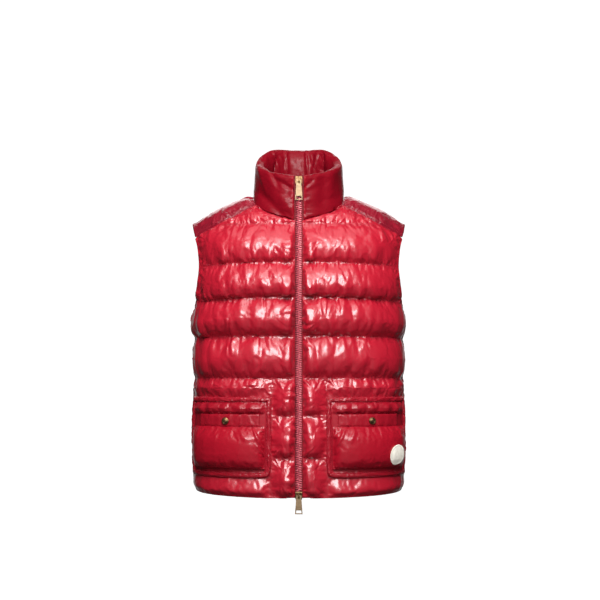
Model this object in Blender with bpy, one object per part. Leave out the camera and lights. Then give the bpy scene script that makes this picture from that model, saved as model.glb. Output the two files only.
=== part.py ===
"""Quilted down vest with a stand collar, a two-way front zip and two patch pockets.

The vest is filled out as if worn and hollow inside.  Each cut piece is a padded wall: a plain
inner face that follows the body's sections, and an outer face raised between the stitch lines.
Units are metres, +Z is up, the front faces -Y and the origin lies in the middle of the neck.
"""
import math
from bisect import bisect_right
from collections import namedtuple

import bmesh
import bpy
import numpy as np
from mathutils import Matrix, Vector

# ---------------------------------------------------------------- driving dimensions
SEAM_GAP = 0.0004          # between two pieces sewn to each other
LAYER_GAP = 0.0003         # between a piece and the one it lies on
SEAM_THICK = 0.005         # padded wall where it is stitched down
ZIP_EDGE = 0.008           # half the gap between the fronts
COLLAR_THICK = 0.016
TAPE_WIDTH, TAPE_THICK = 0.0040, 0.0012
CHAIN_WIDTH, CHAIN_THICK = 0.0031, 0.0034

# Heights of the stitch lines, from the hem up, how far each droops towards the sides (less than
# nothing where it rises), and how far the puff above it stands out in front and at the back.
Quilt = namedtuple("Quilt", "z droop front_puff back_puff")
QUILTS = [
    Quilt(-0.5300, -0.0090, 0.012, 0.012),
    Quilt(-0.4620, 0.0000, 0.016, 0.016),
    Quilt(-0.3900, 0.0000, 0.015, 0.017),
    Quilt(-0.3250, 0.0000, 0.017, 0.017),
    Quilt(-0.2520, 0.0045, 0.019, 0.018),
    Quilt(-0.1850, 0.0085, 0.018, 0.018),
    Quilt(-0.1250, 0.0060, 0.016, 0.017),
    Quilt(-0.0590, 0.0000, 0.008, 0.012),
]
ROW_STEPS = (0.0, 0.2, 0.5, 0.8)       # rows of points within one puff
SAG, FULLNESS = 0.88, 0.7              # 1 and 1 would make a puff's profile half a sine wave
GATHER = 0.45                          # how deep the cloth is ribbed beside a stitch line
ZIP_ROUNDING = 0.080                   # shares of a panel over which its puffs rise from the
SIDE_ROUNDING = 0.30                   # zip and from the side seam
SIDE_REST = 0.10                       # share of a puff that is left at the side seam
UNDER_POCKET_PUFF = 0.010

# Sections of the plain inner face; fullness 2 is an ellipse and more is squarer.
Section = namedtuple("Section", "z half_width front back fullness")
SECTIONS = [
    Section(-0.530, 0.177, 0.113, 0.110, 2.5),
    Section(-0.500, 0.182, 0.114, 0.113, 2.5),
    Section(-0.390, 0.184, 0.112, 0.108, 2.5),
    Section(-0.325, 0.180, 0.107, 0.102, 2.5),
    Section(-0.252, 0.181, 0.109, 0.106, 2.5),
    Section(-0.207, 0.1825, 0.113, 0.111, 2.45),
    Section(-0.185, 0.188, 0.114, 0.114, 2.4),
    Section(-0.155, 0.193, 0.113, 0.116, 2.4),
    Section(-0.100, 0.193, 0.106, 0.114, 2.4),
    Section(-0.0790, 0.192, 0.099, 0.110, 2.4),
    Section(-0.0514, 0.172, 0.086, 0.100, 2.35),
    Section(-0.0362, 0.152, 0.0725, 0.092, 2.3),
    Section(-0.0180, 0.122, 0.055, 0.081, 2.2),
    Section(0.0000, 0.093, 0.040, 0.069, 2.1),
    Section(0.0120, 0.077, 0.030, 0.060, 2.0),
]

# The edge of the armhole, as the half width where the front and the back panel end.
ArmEdge = namedtuple("ArmEdge", "z front back")
ARM_EDGES = [
    ArmEdge(-0.207, 0.1825, 0.1825),
    ArmEdge(-0.198, 0.1805, 0.1815),
    ArmEdge(-0.185, 0.1780, 0.1800),
    ArmEdge(-0.160, 0.1752, 0.1780),
    ArmEdge(-0.133, 0.1742, 0.1775),
    ArmEdge(-0.112, 0.1755, 0.1780),
    ArmEdge(-0.092, 0.1788, 0.1800),
    ArmEdge(-0.0790, 0.1830, 0.1830),
]
UNDERARM_Z = ARM_EDGES[0].z

# The neck seam, as the half width and height where it crosses each panel.
NeckPoint = namedtuple("NeckPoint", "x z")
FRONT_NECK = [
    NeckPoint(ZIP_EDGE, -0.0514),
    NeckPoint(0.0320, -0.0462),
    NeckPoint(0.0565, -0.0370),
    NeckPoint(0.0690, -0.0305),
    NeckPoint(0.0762, -0.0235),
]
BACK_NECK = [
    NeckPoint(0.0690, -0.0060),
    NeckPoint(0.0630, -0.0020),
    NeckPoint(0.0540, 0.0025),
    NeckPoint(0.0420, 0.0065),
    NeckPoint(0.0290, 0.0095),
    NeckPoint(0.0150, 0.0114),
    NeckPoint(0.0000, 0.0120),
]
YOKE_TIP = NeckPoint(0.1830, ARM_EDGES[-1].z)      # where a yoke seam meets the armhole
RIDGE_NECK = Vector((0.0785, 0.0, -0.0040))        # top of the shoulder, inner face
RIDGE_TIP = Vector((0.1900, 0.0, -0.0532))
YOKE_PUFF = 0.0070
YOKE_STEPS = (-1.0, -0.92, -0.6, -0.25, 0.1, 0.45, 0.8, 0.94, 1.0)

# Collar: the ring at its rolled top edge, front, side and back heights.
COLLAR_HALF_WIDTH, COLLAR_HALF_DEPTH, COLLAR_Y = 0.0690, 0.0715, -0.0110
COLLAR_MID_Z, COLLAR_TILT = 0.0640, 0.0335
COLLAR_STEPS = (0.10, 0.32, 0.60, 0.86)

# Where the outward direction of the walls starts from: a spine inside the body.
CORE_TOP, CORE_LIFT = -0.130, 0.65
CORE_LOW_WIDTH, CORE_HIGH_WIDTH = 0.100, 0.170

# Pockets, along the front from the zip edge (0) to the side seam (1) and in height.
POCKET_IN, POCKET_LINES = 0.168, 11
POCKET_OUT = POCKET_IN + (1 - POCKET_IN) * 9 / POCKET_LINES
POCKET_TOP = (QUILTS[2].z + QUILTS[3].z) / 2
POCKET_BOTTOM = (QUILTS[0].z + QUILTS[1].z) / 2
POCKET_BORDER = 0.0090                 # width of the sewn frame round a pocket
POCKET_CORNER = 0.014                  # radius of its lower inner corner
FRONT_LENGTH = 0.262                   # of a front from zip edge to side seam
BASE_THICK, BASE_RAISED, BASE_PUFF = 0.0018, 0.0036, 0.0070
BORDER_SLOPE = 0.0022                  # width of the frame's rounded edges
BAND_IN, BAND_OUT = 0.256, 0.708
BAND_TOP, BAND_BOTTOM = -0.3870, -0.4075
BAND_THICK, BAND_EDGE, BAND_ROUNDING = 0.0042, 0.0021, 0.0012
POUCH_IN, POUCH_OUT = 0.213, 0.780
POUCH_TOP, POUCH_BOTTOM = -0.4080, -0.4800
POUCH_THICK, POUCH_PUFF = 0.0035, 0.0165
STRIP_BOTTOM = BAND_TOP + 0.0006
LAYER_TWO = SEAM_THICK + BASE_THICK + 2 * LAYER_GAP
SNAP_AT, SNAP_Z = 0.497, -0.3985
SNAP_RADIUS, SNAP_HEIGHT = 0.0062, 0.0026
SNAP_CLEAR, PATCH_CLEAR = 0.0010, 0.0010
PATCH_AT, PATCH_Z = 0.652, -0.4575     # middle of the plain patch on the right pouch
PATCH_WIDE, PATCH_HIGH, PATCH_THICK = 0.0290, 0.0340, 0.0014

# Zip pulls: height of the hinge and length of the plate below it.
Pull = namedtuple("Pull", "name slider z length")
PULLS = [
    Pull("zip_pull_top", "zip_slider_top", 0.0205, 0.0350),
    Pull("zip_pull_bottom", "zip_slider_bottom", -0.5255, 0.0315),
]
SLIDER_WIDTH, SLIDER_LENGTH, SLIDER_PLATE = 0.0118, 0.0140, 0.0016
SLIDER_POST, SLIDER_CLEAR, SLIDER_CORNER = 0.0040, 0.0004, 0.0028
CROWN_WIDTH, CROWN_REACH, CROWN_HALF, CROWN_BAR = 0.0028, 0.0028, 0.0034, 0.0009
CROWN_SUNK, CROWN_BEVEL = 0.0005, 0.0008
PIN_RADIUS = 0.0007
PULL_TOP_WIDTH, PULL_END_WIDTH, PULL_THICK = 0.0086, 0.0132, 0.0015
PULL_EYE, PULL_WINDOW, PULL_RIM = 0.0058, 0.0046, 0.0019
PULL_CLEAR, PULL_BEVEL = 0.0006, 0.0003

RED = (0.47, 0.010, 0.030)
DARK_RED = (0.30, 0.009, 0.030)
TAPE_RED = (0.33, 0.020, 0.045)
BRASS = (0.45, 0.30, 0.13)
CREAM = (0.78, 0.74, 0.66)


# ---------------------------------------------------------------- small helpers
def smooth_column(table, column, z):
    """One column of a table at height z, by a cubic through its rows."""
    zs = [row.z for row in table]
    values = [getattr(row, column) for row in table]
    z = min(max(z, zs[0]), zs[-1])
    i = min(max(int(np.searchsorted(zs, z)) - 1, 0), len(zs) - 2)
    slopes = np.gradient(values, zs)
    step = zs[i + 1] - zs[i]
    t = (z - zs[i]) / step
    rise = (values[i + 1] - values[i]) / step
    limit = 3 * abs(rise)
    start = math.copysign(min(abs(slopes[i]), limit), slopes[i])
    end = math.copysign(min(abs(slopes[i + 1]), limit), slopes[i + 1])
    return ((1 + 2 * t) * (1 - t) ** 2 * values[i] + t * (1 - t) ** 2 * step * start
            + t * t * (3 - 2 * t) * values[i + 1] - t * t * (1 - t) * step * end)


def lerp(a, b, t):
    return a + (b - a) * t


def ramp(low, high, value):
    """0 below low, 1 above high, smooth between."""
    t = min(max((value - low) / (high - low), 0.0), 1.0)
    return t * t * (3 - 2 * t)


def outward(point):
    """Direction in which the wall's padding stands out at a point of the inner face."""
    half = lerp(CORE_LOW_WIDTH, CORE_HIGH_WIDTH, ramp(-0.22, -0.10, point.z))
    core_x = math.copysign(min(0.97 * abs(point.x), half), point.x)
    lift = CORE_LIFT * (point.z - min(point.z, CORE_TOP))
    return Vector((point.x - core_x, point.y, lift)).normalized()


def new_material(name, colour, roughness, metallic):
    material = bpy.data.materials.new(name)
    material.use_nodes = True
    shader = material.node_tree.nodes["Principled BSDF"]
    shader.inputs["Base Color"].default_value = (*colour, 1.0)
    shader.inputs["Roughness"].default_value = roughness
    shader.inputs["Metallic"].default_value = metallic
    return material


def add_object(name, bm, colour, roughness=0.3, metallic=0.0, sharp=40.0):
    """Close a bmesh into a named object with its own material."""
    bmesh.ops.remove_doubles(bm, verts=bm.verts[:], dist=0.00001)
    bmesh.ops.dissolve_degenerate(bm, dist=0.00001, edges=bm.edges[:])
    bmesh.ops.recalc_face_normals(bm, faces=bm.faces[:])
    mesh = bpy.data.meshes.new(name)
    bm.to_mesh(mesh)
    bm.free()
    mesh.shade_smooth()
    mesh.set_sharp_from_angle(angle=math.radians(sharp))
    mesh.materials.append(new_material(name, colour, roughness, metallic))
    obj = bpy.data.objects.new(name, mesh)
    bpy.context.scene.collection.objects.link(obj)
    return obj


# ---------------------------------------------------------------- padded walls
def seam_shifts(grid, gap):
    """How far each point of a grid moves in from the grid's border, square to the border."""
    rows, cols = len(grid), len(grid[0])
    shifts = [[Vector() for _ in range(cols)] for _ in range(rows)]

    def shift(r, c, inner, before, after):
        along = after - before
        into = inner - grid[r][c]
        if along.length > 1e-6:
            into = into - into.project(along)
        if into.length > 1e-7:
            shifts[r][c] += into.normalized() * gap

    for r in range(rows):
        low, high = max(r - 1, 0), min(r + 1, rows - 1)
        shift(r, 0, grid[r][1], grid[low][0], grid[high][0])
        shift(r, cols - 1, grid[r][-2], grid[low][-1], grid[high][-1])
    for c in range(cols):
        low, high = max(c - 1, 0), min(c + 1, cols - 1)
        shift(0, c, grid[1][c], grid[0][low], grid[0][high])
        shift(rows - 1, c, grid[-2][c], grid[-1][low], grid[-1][high])
    return shifts


def stitch(bm, first, second):
    """Faces between two rows of (place, vertex) that start and end together."""
    i = j = 0
    while i < len(first) - 1 or j < len(second) - 1:
        next_i = first[i + 1][0] if i < len(first) - 1 else math.inf
        next_j = second[j + 1][0] if j < len(second) - 1 else math.inf
        corners = [first[i][1]]
        if next_i <= next_j:
            corners.append(first[i + 1][1])
        if next_j <= next_i:
            corners.append(second[j + 1][1])
        corners.append(second[j][1])
        i += next_i <= next_j
        j += next_j <= next_i
        bm.faces.new(corners)


def padded_wall(us, vs, surface, low, high, keep_us, keep_vs, gap):
    """A closed wall over a grid of (u, v): the outer face has all lines, the inner one few.

    surface(u, v) gives the point and its outward direction, low(u, v) and high(u, v) how far
    out of it the inner and the outer face lie.
    """
    places = [[surface(u, v) for u in us] for v in vs]
    shifts = seam_shifts([[p for p, _ in row] for row in places], gap)
    bm = bmesh.new()
    outer, inner = {}, {}
    for r, v in enumerate(vs):
        for c, u in enumerate(us):
            point, out = places[r][c]
            base = point + shifts[r][c]
            outer[r, c] = bm.verts.new(base + out * high(u, v))
            if r in keep_vs and c in keep_us:
                inner[r, c] = bm.verts.new(base + out * low(u, v))
    for r in range(len(vs) - 1):
        for c in range(len(us) - 1):
            bm.faces.new((outer[r, c], outer[r, c + 1], outer[r + 1, c + 1], outer[r + 1, c]))
    for r0, r1 in zip(keep_vs, keep_vs[1:]):
        for c0, c1 in zip(keep_us, keep_us[1:]):
            bm.faces.new((inner[r0, c0], inner[r1, c0], inner[r1, c1], inner[r0, c1]))
    last_r, last_c = len(vs) - 1, len(us) - 1
    for c in (0, last_c):
        stitch(bm, [(r, outer[r, c]) for r in range(len(vs))],
               [(r, inner[r, c]) for r in keep_vs])
    for r in (0, last_r):
        stitch(bm, [(c, outer[r, c]) for c in range(len(us))],
               [(c, inner[r, c]) for c in keep_us])
    return bm


def every(count, step):
    """Indices 0, step, 2 step ... and always the last one."""
    return sorted(set(range(0, count, step)) | {count - 1})


# ---------------------------------------------------------------- the body's inner face
def section_curve(z, depth_column, x_start, x_end):
    """Points and lengths along the section at height z, from one half width to another."""
    half = smooth_column(SECTIONS, "half_width", z)
    depth = smooth_column(SECTIONS, depth_column, z)
    power = 2 / smooth_column(SECTIONS, "fullness", z)
    turns = [math.asin(min(x / half, 1.0) ** (1 / power)) for x in (x_start, x_end)]
    angles = np.linspace(turns[0], turns[1], 61)
    xs = half * np.sin(angles) ** power
    ys = depth * np.abs(np.cos(angles)) ** power
    lengths = np.concatenate([[0.0], np.cumsum(np.hypot(np.diff(xs), np.diff(ys)))])
    return xs, ys, lengths


def on_section(z, depth_column, x_start, x_end, share):
    """The point at a share of the way along a section (x and depth are positive)."""
    xs, ys, lengths = section_curve(z, depth_column, x_start, x_end)
    at = share * lengths[-1]
    return float(np.interp(at, lengths, xs)), float(np.interp(at, lengths, ys))


def yoke_seam_x(z, corner):
    """Half width of the straight seam from the armhole up to the neck, at height z."""
    return lerp(YOKE_TIP.x, corner.x, (z - YOKE_TIP.z) / (corner.z - YOKE_TIP.z))


def panel_end(z, column, corner):
    """Half width at which a panel ends: side seam, armhole, then yoke seam."""
    if z <= UNDERARM_Z + 1e-9:
        return smooth_column(SECTIONS, "half_width", z)
    if z <= YOKE_TIP.z + 1e-9:
        return smooth_column(ARM_EDGES, column, z)
    return yoke_seam_x(z, corner)


def drooped(z, share):
    """Height at a share of the way out along the row that is at height z in the middle."""
    if z >= YOKE_TIP.z:
        return z
    return z - smooth_column(QUILTS, "droop", z) * share * share


def front_point(side, share, z):
    """Inner face of a front: share 0 at the zip or the neck, 1 at its outer edge."""
    z = drooped(z, share)
    neck_zs = [p.z for p in FRONT_NECK]
    start = float(np.interp(z, neck_zs, [p.x for p in FRONT_NECK]))
    end = max(panel_end(z, "front", FRONT_NECK[-1]), start)
    x, depth = on_section(z, "front", start, end, share)
    return Vector((side * x, -depth, z))


def back_point(share, z):
    """Inner face of the back: share -1 at the left edge, 0 in the middle, 1 at the right."""
    z = drooped(z, share)
    if z > BACK_NECK[0].z:
        end = float(np.interp(z, [p.z for p in BACK_NECK], [p.x for p in BACK_NECK]))
    else:
        end = panel_end(z, "back", BACK_NECK[0])
    x, depth = on_section(z, "back", 0.0, end, abs(share))
    return Vector((math.copysign(x, share), depth, z))


# ---------------------------------------------------------------- rows of points
def lower_rows():
    """Heights of the rows from the hem to the yoke's tip, the same in front and at the back."""
    rows = [UNDERARM_Z + smooth_column(QUILTS, "droop", UNDERARM_Z), YOKE_TIP.z]
    for quilt, above in zip(QUILTS, QUILTS[1:]):
        rows += [lerp(quilt.z, above.z, step) for step in ROW_STEPS]
    rows = sorted(z for z in rows if z <= YOKE_TIP.z)
    return [z for z, after in zip(rows, rows[1:] + [math.inf]) if after - z > 0.003]


LOWER_ROWS = lower_rows()
FRONT_TOP_ROWS = [QUILTS[-1].z] + [p.z for p in FRONT_NECK]
SEAM_SHARES = [(z - YOKE_TIP.z) / (FRONT_NECK[-1].z - YOKE_TIP.z) for z in FRONT_TOP_ROWS]
SEAM_SHARES_WITH_TIP = [0.0] + SEAM_SHARES
BACK_TOP_ROWS = [lerp(YOKE_TIP.z, BACK_NECK[0].z, share) for share in SEAM_SHARES]
FRONT_ROWS = LOWER_ROWS + FRONT_TOP_ROWS
BACK_ROWS = LOWER_ROWS + BACK_TOP_ROWS + [p.z for p in BACK_NECK[1:]]
FRONT_SHARES = [0.0, 0.030, 0.090] + [POCKET_IN + (1 - POCKET_IN) * i / POCKET_LINES
                                      for i in range(POCKET_LINES + 1)]
BACK_SHARES = [i / 11 for i in range(-11, 12)]


# ---------------------------------------------------------------- quilting
def puff_at(z, column, top):
    """Height of the puff at z, and how far up the puff z lies (0 and 1 at its stitch lines)."""
    for quilt, above in zip(QUILTS, QUILTS[1:] + [Quilt(top, 0.0, 0.0, 0.0)]):
        if z < above.z - 1e-6:
            return getattr(quilt, column), (z - quilt.z) / (above.z - quilt.z)
    return 0.0, 0.0


def swell(share):
    """Profile of a puff from one stitch line (0) to the next (1); the down sags a little."""
    return math.sin(math.pi * min(max(share, 0.0), 1.0) ** SAG) ** FULLNESS


def gathers(index, up):
    """The cloth is drawn up at the stitch lines, so the puff is ribbed next to them."""
    near_line = 1 - swell(up)
    return 1 + GATHER * near_line * (-1) ** (index + (up > 0.5))


def front_padding(share, z):
    """Thickness of a front.  It is flat under the pocket, which is sewn to it all round."""
    index = FRONT_SHARES.index(share)
    puff, up = puff_at(z, "front_puff", FRONT_NECK[-1].z)
    to_zip = min(share / ZIP_ROUNDING, 1.0) ** 0.4
    to_side = lerp(SIDE_REST, 1.0, min((1 - share) / SIDE_ROUNDING, 1.0) ** 1.1)
    if z < QUILTS[3].z and share >= POCKET_IN - 1e-9:
        if POCKET_BOTTOM - 1e-6 <= z <= POCKET_TOP + 1e-6 or share < POCKET_IN + 1e-9:
            return SEAM_THICK
        low, high = (POCKET_TOP, QUILTS[3].z) if z > POCKET_TOP else (QUILTS[0].z, POCKET_BOTTOM)
        up = (z - low) / (high - low)
        puff = UNDER_POCKET_PUFF
    elif z < QUILTS[3].z:
        to_side = min((POCKET_IN - share) / 0.06, 1.0) ** 0.5
    if up in (0.0, 1.0):
        return SEAM_THICK
    ribs = 1.0 if share == 1.0 else gathers(index, up)
    return SEAM_THICK + puff * swell(up) * to_zip * to_side * ribs


def back_padding(share, z):
    """Thickness of the back, which has the same stitch lines and no pocket."""
    index = BACK_SHARES.index(share)
    puff, up = puff_at(z, "back_puff", BACK_NECK[-1].z)
    to_side = lerp(SIDE_REST, 1.0, min((1 - abs(share)) / SIDE_ROUNDING, 1.0) ** 1.1)
    if z > YOKE_TIP.z:
        to_side = min((1 - abs(share)) / SIDE_ROUNDING, 1.0) ** 0.7
    if abs(up) < 1e-9:
        return SEAM_THICK
    ribs = 1.0 if abs(share) == 1.0 else gathers(index, up)
    return SEAM_THICK + puff * swell(up) * to_side * ribs


# ---------------------------------------------------------------- fronts and back
def build_front(name, side):
    def surface(share, z):
        point = front_point(side, share, z)
        return point, outward(point)

    bm = padded_wall(FRONT_SHARES, FRONT_ROWS, surface, lambda share, z: 0.0, front_padding,
                     every(len(FRONT_SHARES), 2), range(len(FRONT_ROWS)), SEAM_GAP / 2)
    return add_object(name, bm, RED)


def build_back():
    def surface(share, z):
        point = back_point(share, z)
        return point, outward(point)

    bm = padded_wall(BACK_SHARES, BACK_ROWS, surface, lambda share, z: 0.0, back_padding,
                     every(len(BACK_SHARES), 2), range(len(BACK_ROWS)), SEAM_GAP / 2)
    return add_object("back", bm, RED)


# ---------------------------------------------------------------- yokes
def yoke_point(side, along, across):
    """Inner face of a yoke: along 0 at its tip, 1 at the neck; across -1 in front, 1 behind."""
    z_front = lerp(YOKE_TIP.z, FRONT_NECK[-1].z, along)
    z_back = lerp(YOKE_TIP.z, BACK_NECK[0].z, along)
    front = front_point(side, 1.0, z_front)
    back = back_point(side, z_back)
    ridge = RIDGE_TIP.lerp(RIDGE_NECK, along)
    ridge.x *= side
    bend = (front + back) / 2 - ridge
    return ridge + (back - front) / 2 * across + bend * across * across


def build_yoke(name, side):
    def surface(along, across):
        point = yoke_point(side, along, across)
        return point, outward(point)

    def padding(along, across):
        ends = min(along / 0.10, (1 - along) / 0.10, 1.0) ** 0.5
        return SEAM_THICK + YOKE_PUFF * ends * (1 - across ** 6)

    bm = padded_wall(SEAM_SHARES_WITH_TIP, YOKE_STEPS, surface, lambda u, v: 0.0, padding,
                     range(len(SEAM_SHARES_WITH_TIP)), range(len(YOKE_STEPS)), SEAM_GAP / 2)
    return add_object(name, bm, DARK_RED, roughness=0.4)


# ---------------------------------------------------------------- collar
def neck_stations():
    """Points of the neck seam on the +X half, from the zip over the shoulder to the back."""
    front = [front_point(1, 0.0, p.z) for p in FRONT_NECK]
    yoke = [yoke_point(1, 1.0, across) for across in YOKE_STEPS[1:-1]]
    back = [back_point(1.0, p.z) for p in BACK_NECK]
    return front + yoke + back


def collar_section(base, side):
    """Closed outline of the collar's wall over one point of the neck seam."""
    angle = math.atan2(base.x, COLLAR_Y - base.y)
    rim_x = max(COLLAR_HALF_WIDTH * math.sin(angle), ZIP_EDGE) if base.x else 0.0
    behind = max(-math.cos(angle), 0.0)
    rise = behind * behind * (1 - behind) - math.cos(angle)
    rim = Vector((rim_x, COLLAR_Y - COLLAR_HALF_DEPTH * math.cos(angle),
                  COLLAR_MID_Z + COLLAR_TILT * rise - COLLAR_THICK / 2))
    flat = Vector((math.sin(angle) / COLLAR_HALF_WIDTH, -math.cos(angle) / COLLAR_HALF_DEPTH, 0))
    flat.normalize()
    if 0 < base.x <= ZIP_EDGE:
        flat = Vector((0.0, -1.0, 0.0))
    up = Vector((0.0, 0.0, 1.0))
    inner = [base + up * SEAM_GAP / 2]
    outer = [inner[0] + outward(base) * SEAM_THICK]
    rim_outer = rim + flat * COLLAR_THICK / 2
    for step in COLLAR_STEPS:
        reach = 1 - (1 - step) ** 2
        point = outer[0].lerp(rim_outer, reach)
        point.z = lerp(outer[0].z, rim.z, step)
        thick = lerp(SEAM_THICK, COLLAR_THICK, min(step / 0.45, 1.0) ** 0.6)
        outer.append(point)
        inner.append(point - flat * thick)
    roll = [rim + (flat * math.cos(turn) + up * math.sin(turn)) * COLLAR_THICK / 2
            for turn in np.linspace(0, math.pi, 5)]
    return [Vector((side * p.x, p.y, p.z)) for p in outer + roll + inner[::-1]]


def build_collar():
    stations = neck_stations()
    zip_in = Vector((SEAM_GAP / 2, 0.0, 0.0))
    right = [collar_section(base, 1) for base in stations]
    left = [collar_section(base, -1) for base in stations[:-1]]
    right[0] = [p + zip_in for p in right[0]]
    left[0] = [p - zip_in for p in left[0]]
    bm = bmesh.new()
    rings = [[bm.verts.new(p) for p in section] for section in right + left[::-1]]
    for ring, after in zip(rings, rings[1:]):
        for i in range(len(ring)):
            bm.faces.new((ring[i - 1], ring[i], after[i], after[i - 1]))
    bm.faces.new(rings[0])
    bm.faces.new(rings[-1][::-1])
    return add_object("collar", bm, RED)


# ---------------------------------------------------------------- zip
def zip_path():
    """Middle of the zip from the hem to the collar's top, in the seam's thickness."""
    path = []
    for z in LOWER_ROWS + FRONT_TOP_ROWS[:1]:
        point = front_point(1, 0.0, z)
        path.append(Vector((0.0, (point + outward(point) * SEAM_THICK / 2).y, z)))
    outline = collar_section(neck_stations()[0], 1)[:len(COLLAR_STEPS) + 2]
    for z in (-0.050, -0.038, -0.020, 0.0, 0.010):
        y = float(np.interp(z, [p.z for p in outline], [p.y for p in outline]))
        path.append(Vector((0.0, y + SEAM_THICK / 2, z)))
    path.append(Vector((0.0, path[-1].y, COLLAR_MID_Z - COLLAR_TILT - 0.0015)))
    return path


def zip_point(z):
    path = zip_path()
    y = float(np.interp(z, [p.z for p in path], [p.y for p in path]))
    return Vector((0.0, y, z))


def build_strip(name, side, x_inner, width, thick, bottom, top, colour):
    """A flat strip that follows the zip, on one side of the middle."""
    heights = [bottom] + [p.z for p in zip_path() if bottom + 0.001 < p.z < top - 0.001] + [top]
    bm = bmesh.new()
    rings = []
    for z in heights:
        middle = zip_point(z)
        corners = [(x_inner, -thick / 2), (x_inner + width, -thick / 2),
                   (x_inner + width, thick / 2), (x_inner, thick / 2)]
        rings.append([bm.verts.new((side * x, middle.y + y, z)) for x, y in corners])
    for ring, after in zip(rings, rings[1:]):
        for i in range(4):
            bm.faces.new((ring[i - 1], ring[i], after[i], after[i - 1]))
    bm.faces.new(rings[0])
    bm.faces.new(rings[-1][::-1])
    return add_object(name, bm, colour, roughness=0.6)


def build_slider(pull):
    """Front and back plate on a middle post, with the crown that carries the pull."""
    half_w, half_l = SLIDER_WIDTH / 2, SLIDER_LENGTH / 2
    post = SLIDER_POST / 2
    inner_y = CHAIN_THICK / 2 + SLIDER_CLEAR
    outer_y = inner_y + SLIDER_PLATE
    outline = [(-half_w, -outer_y), (half_w, -outer_y), (half_w, -inner_y), (post, -inner_y),
               (post, inner_y), (half_w, inner_y), (half_w, outer_y), (-half_w, outer_y),
               (-half_w, inner_y), (-post, inner_y), (-post, -inner_y), (-half_w, -inner_y)]
    bm = bmesh.new()
    face = bm.faces.new([bm.verts.new((x, y, -half_l)) for x, y in outline])
    swept = bmesh.ops.extrude_face_region(bm, geom=[face])
    moved = [v for v in swept["geom"] if isinstance(v, bmesh.types.BMVert)]
    bmesh.ops.translate(bm, verts=moved, vec=(0, 0, SLIDER_LENGTH))
    corners = [e for e in bm.edges if abs(e.verts[0].co.x) > half_w - 1e-6
               and abs(e.verts[1].co.x) > half_w - 1e-6
               and abs(e.verts[0].co.z - e.verts[1].co.z) < 1e-6]
    bmesh.ops.bevel(bm, geom=corners, offset=SLIDER_CORNER, segments=3, affect="EDGES", profile=0.5,
                    clamp_overlap=True, material=-1)
    slider = add_object(pull.slider, bm, BRASS, roughness=0.35, metallic=1.0)

    crown = bmesh.new()
    top = outer_y + CROWN_REACH
    foot = outer_y - CROWN_SUNK
    inside = CROWN_HALF - CROWN_BAR
    side_view = [(-CROWN_HALF, foot), (-CROWN_HALF, top - CROWN_BEVEL),
                 (-CROWN_HALF + CROWN_BEVEL, top), (CROWN_HALF - CROWN_BEVEL, top),
                 (CROWN_HALF, top - CROWN_BEVEL), (CROWN_HALF, foot),
                 (inside, foot), (inside, top - CROWN_BAR),
                 (-inside, top - CROWN_BAR), (-inside, foot)]
    face = crown.faces.new([crown.verts.new((-CROWN_WIDTH / 2, -y, z)) for z, y in side_view])
    swept = bmesh.ops.extrude_face_region(crown, geom=[face])
    moved = [v for v in swept["geom"] if isinstance(v, bmesh.types.BMVert)]
    bmesh.ops.translate(crown, verts=moved, vec=(CROWN_WIDTH, 0, 0))
    cutter = add_object(pull.slider + "_crown", crown, BRASS)
    cutter.hide_render = True
    cutter.display_type = "WIRE"
    union = slider.modifiers.new("crown", "BOOLEAN")
    union.operation = "UNION"
    union.object = cutter
    union.solver = "EXACT"
    below, above = zip_point(pull.z - half_l), zip_point(pull.z + half_l)
    lean = math.atan2(-(above.y - below.y), SLIDER_LENGTH)
    for obj in (slider, cutter):
        obj.location = (0.0, (below.y + above.y) / 2, pull.z)
        obj.rotation_euler = (lean, 0.0, 0.0)
    return slider


def hinge_place(pull):
    """Middle of the pin that turns in the slider's crown."""
    reach = CHAIN_THICK / 2 + SLIDER_CLEAR + SLIDER_PLATE + (CROWN_REACH - CROWN_BAR) / 2
    return zip_point(pull.z) + Vector((0.0, -reach, 0.0))


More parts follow.
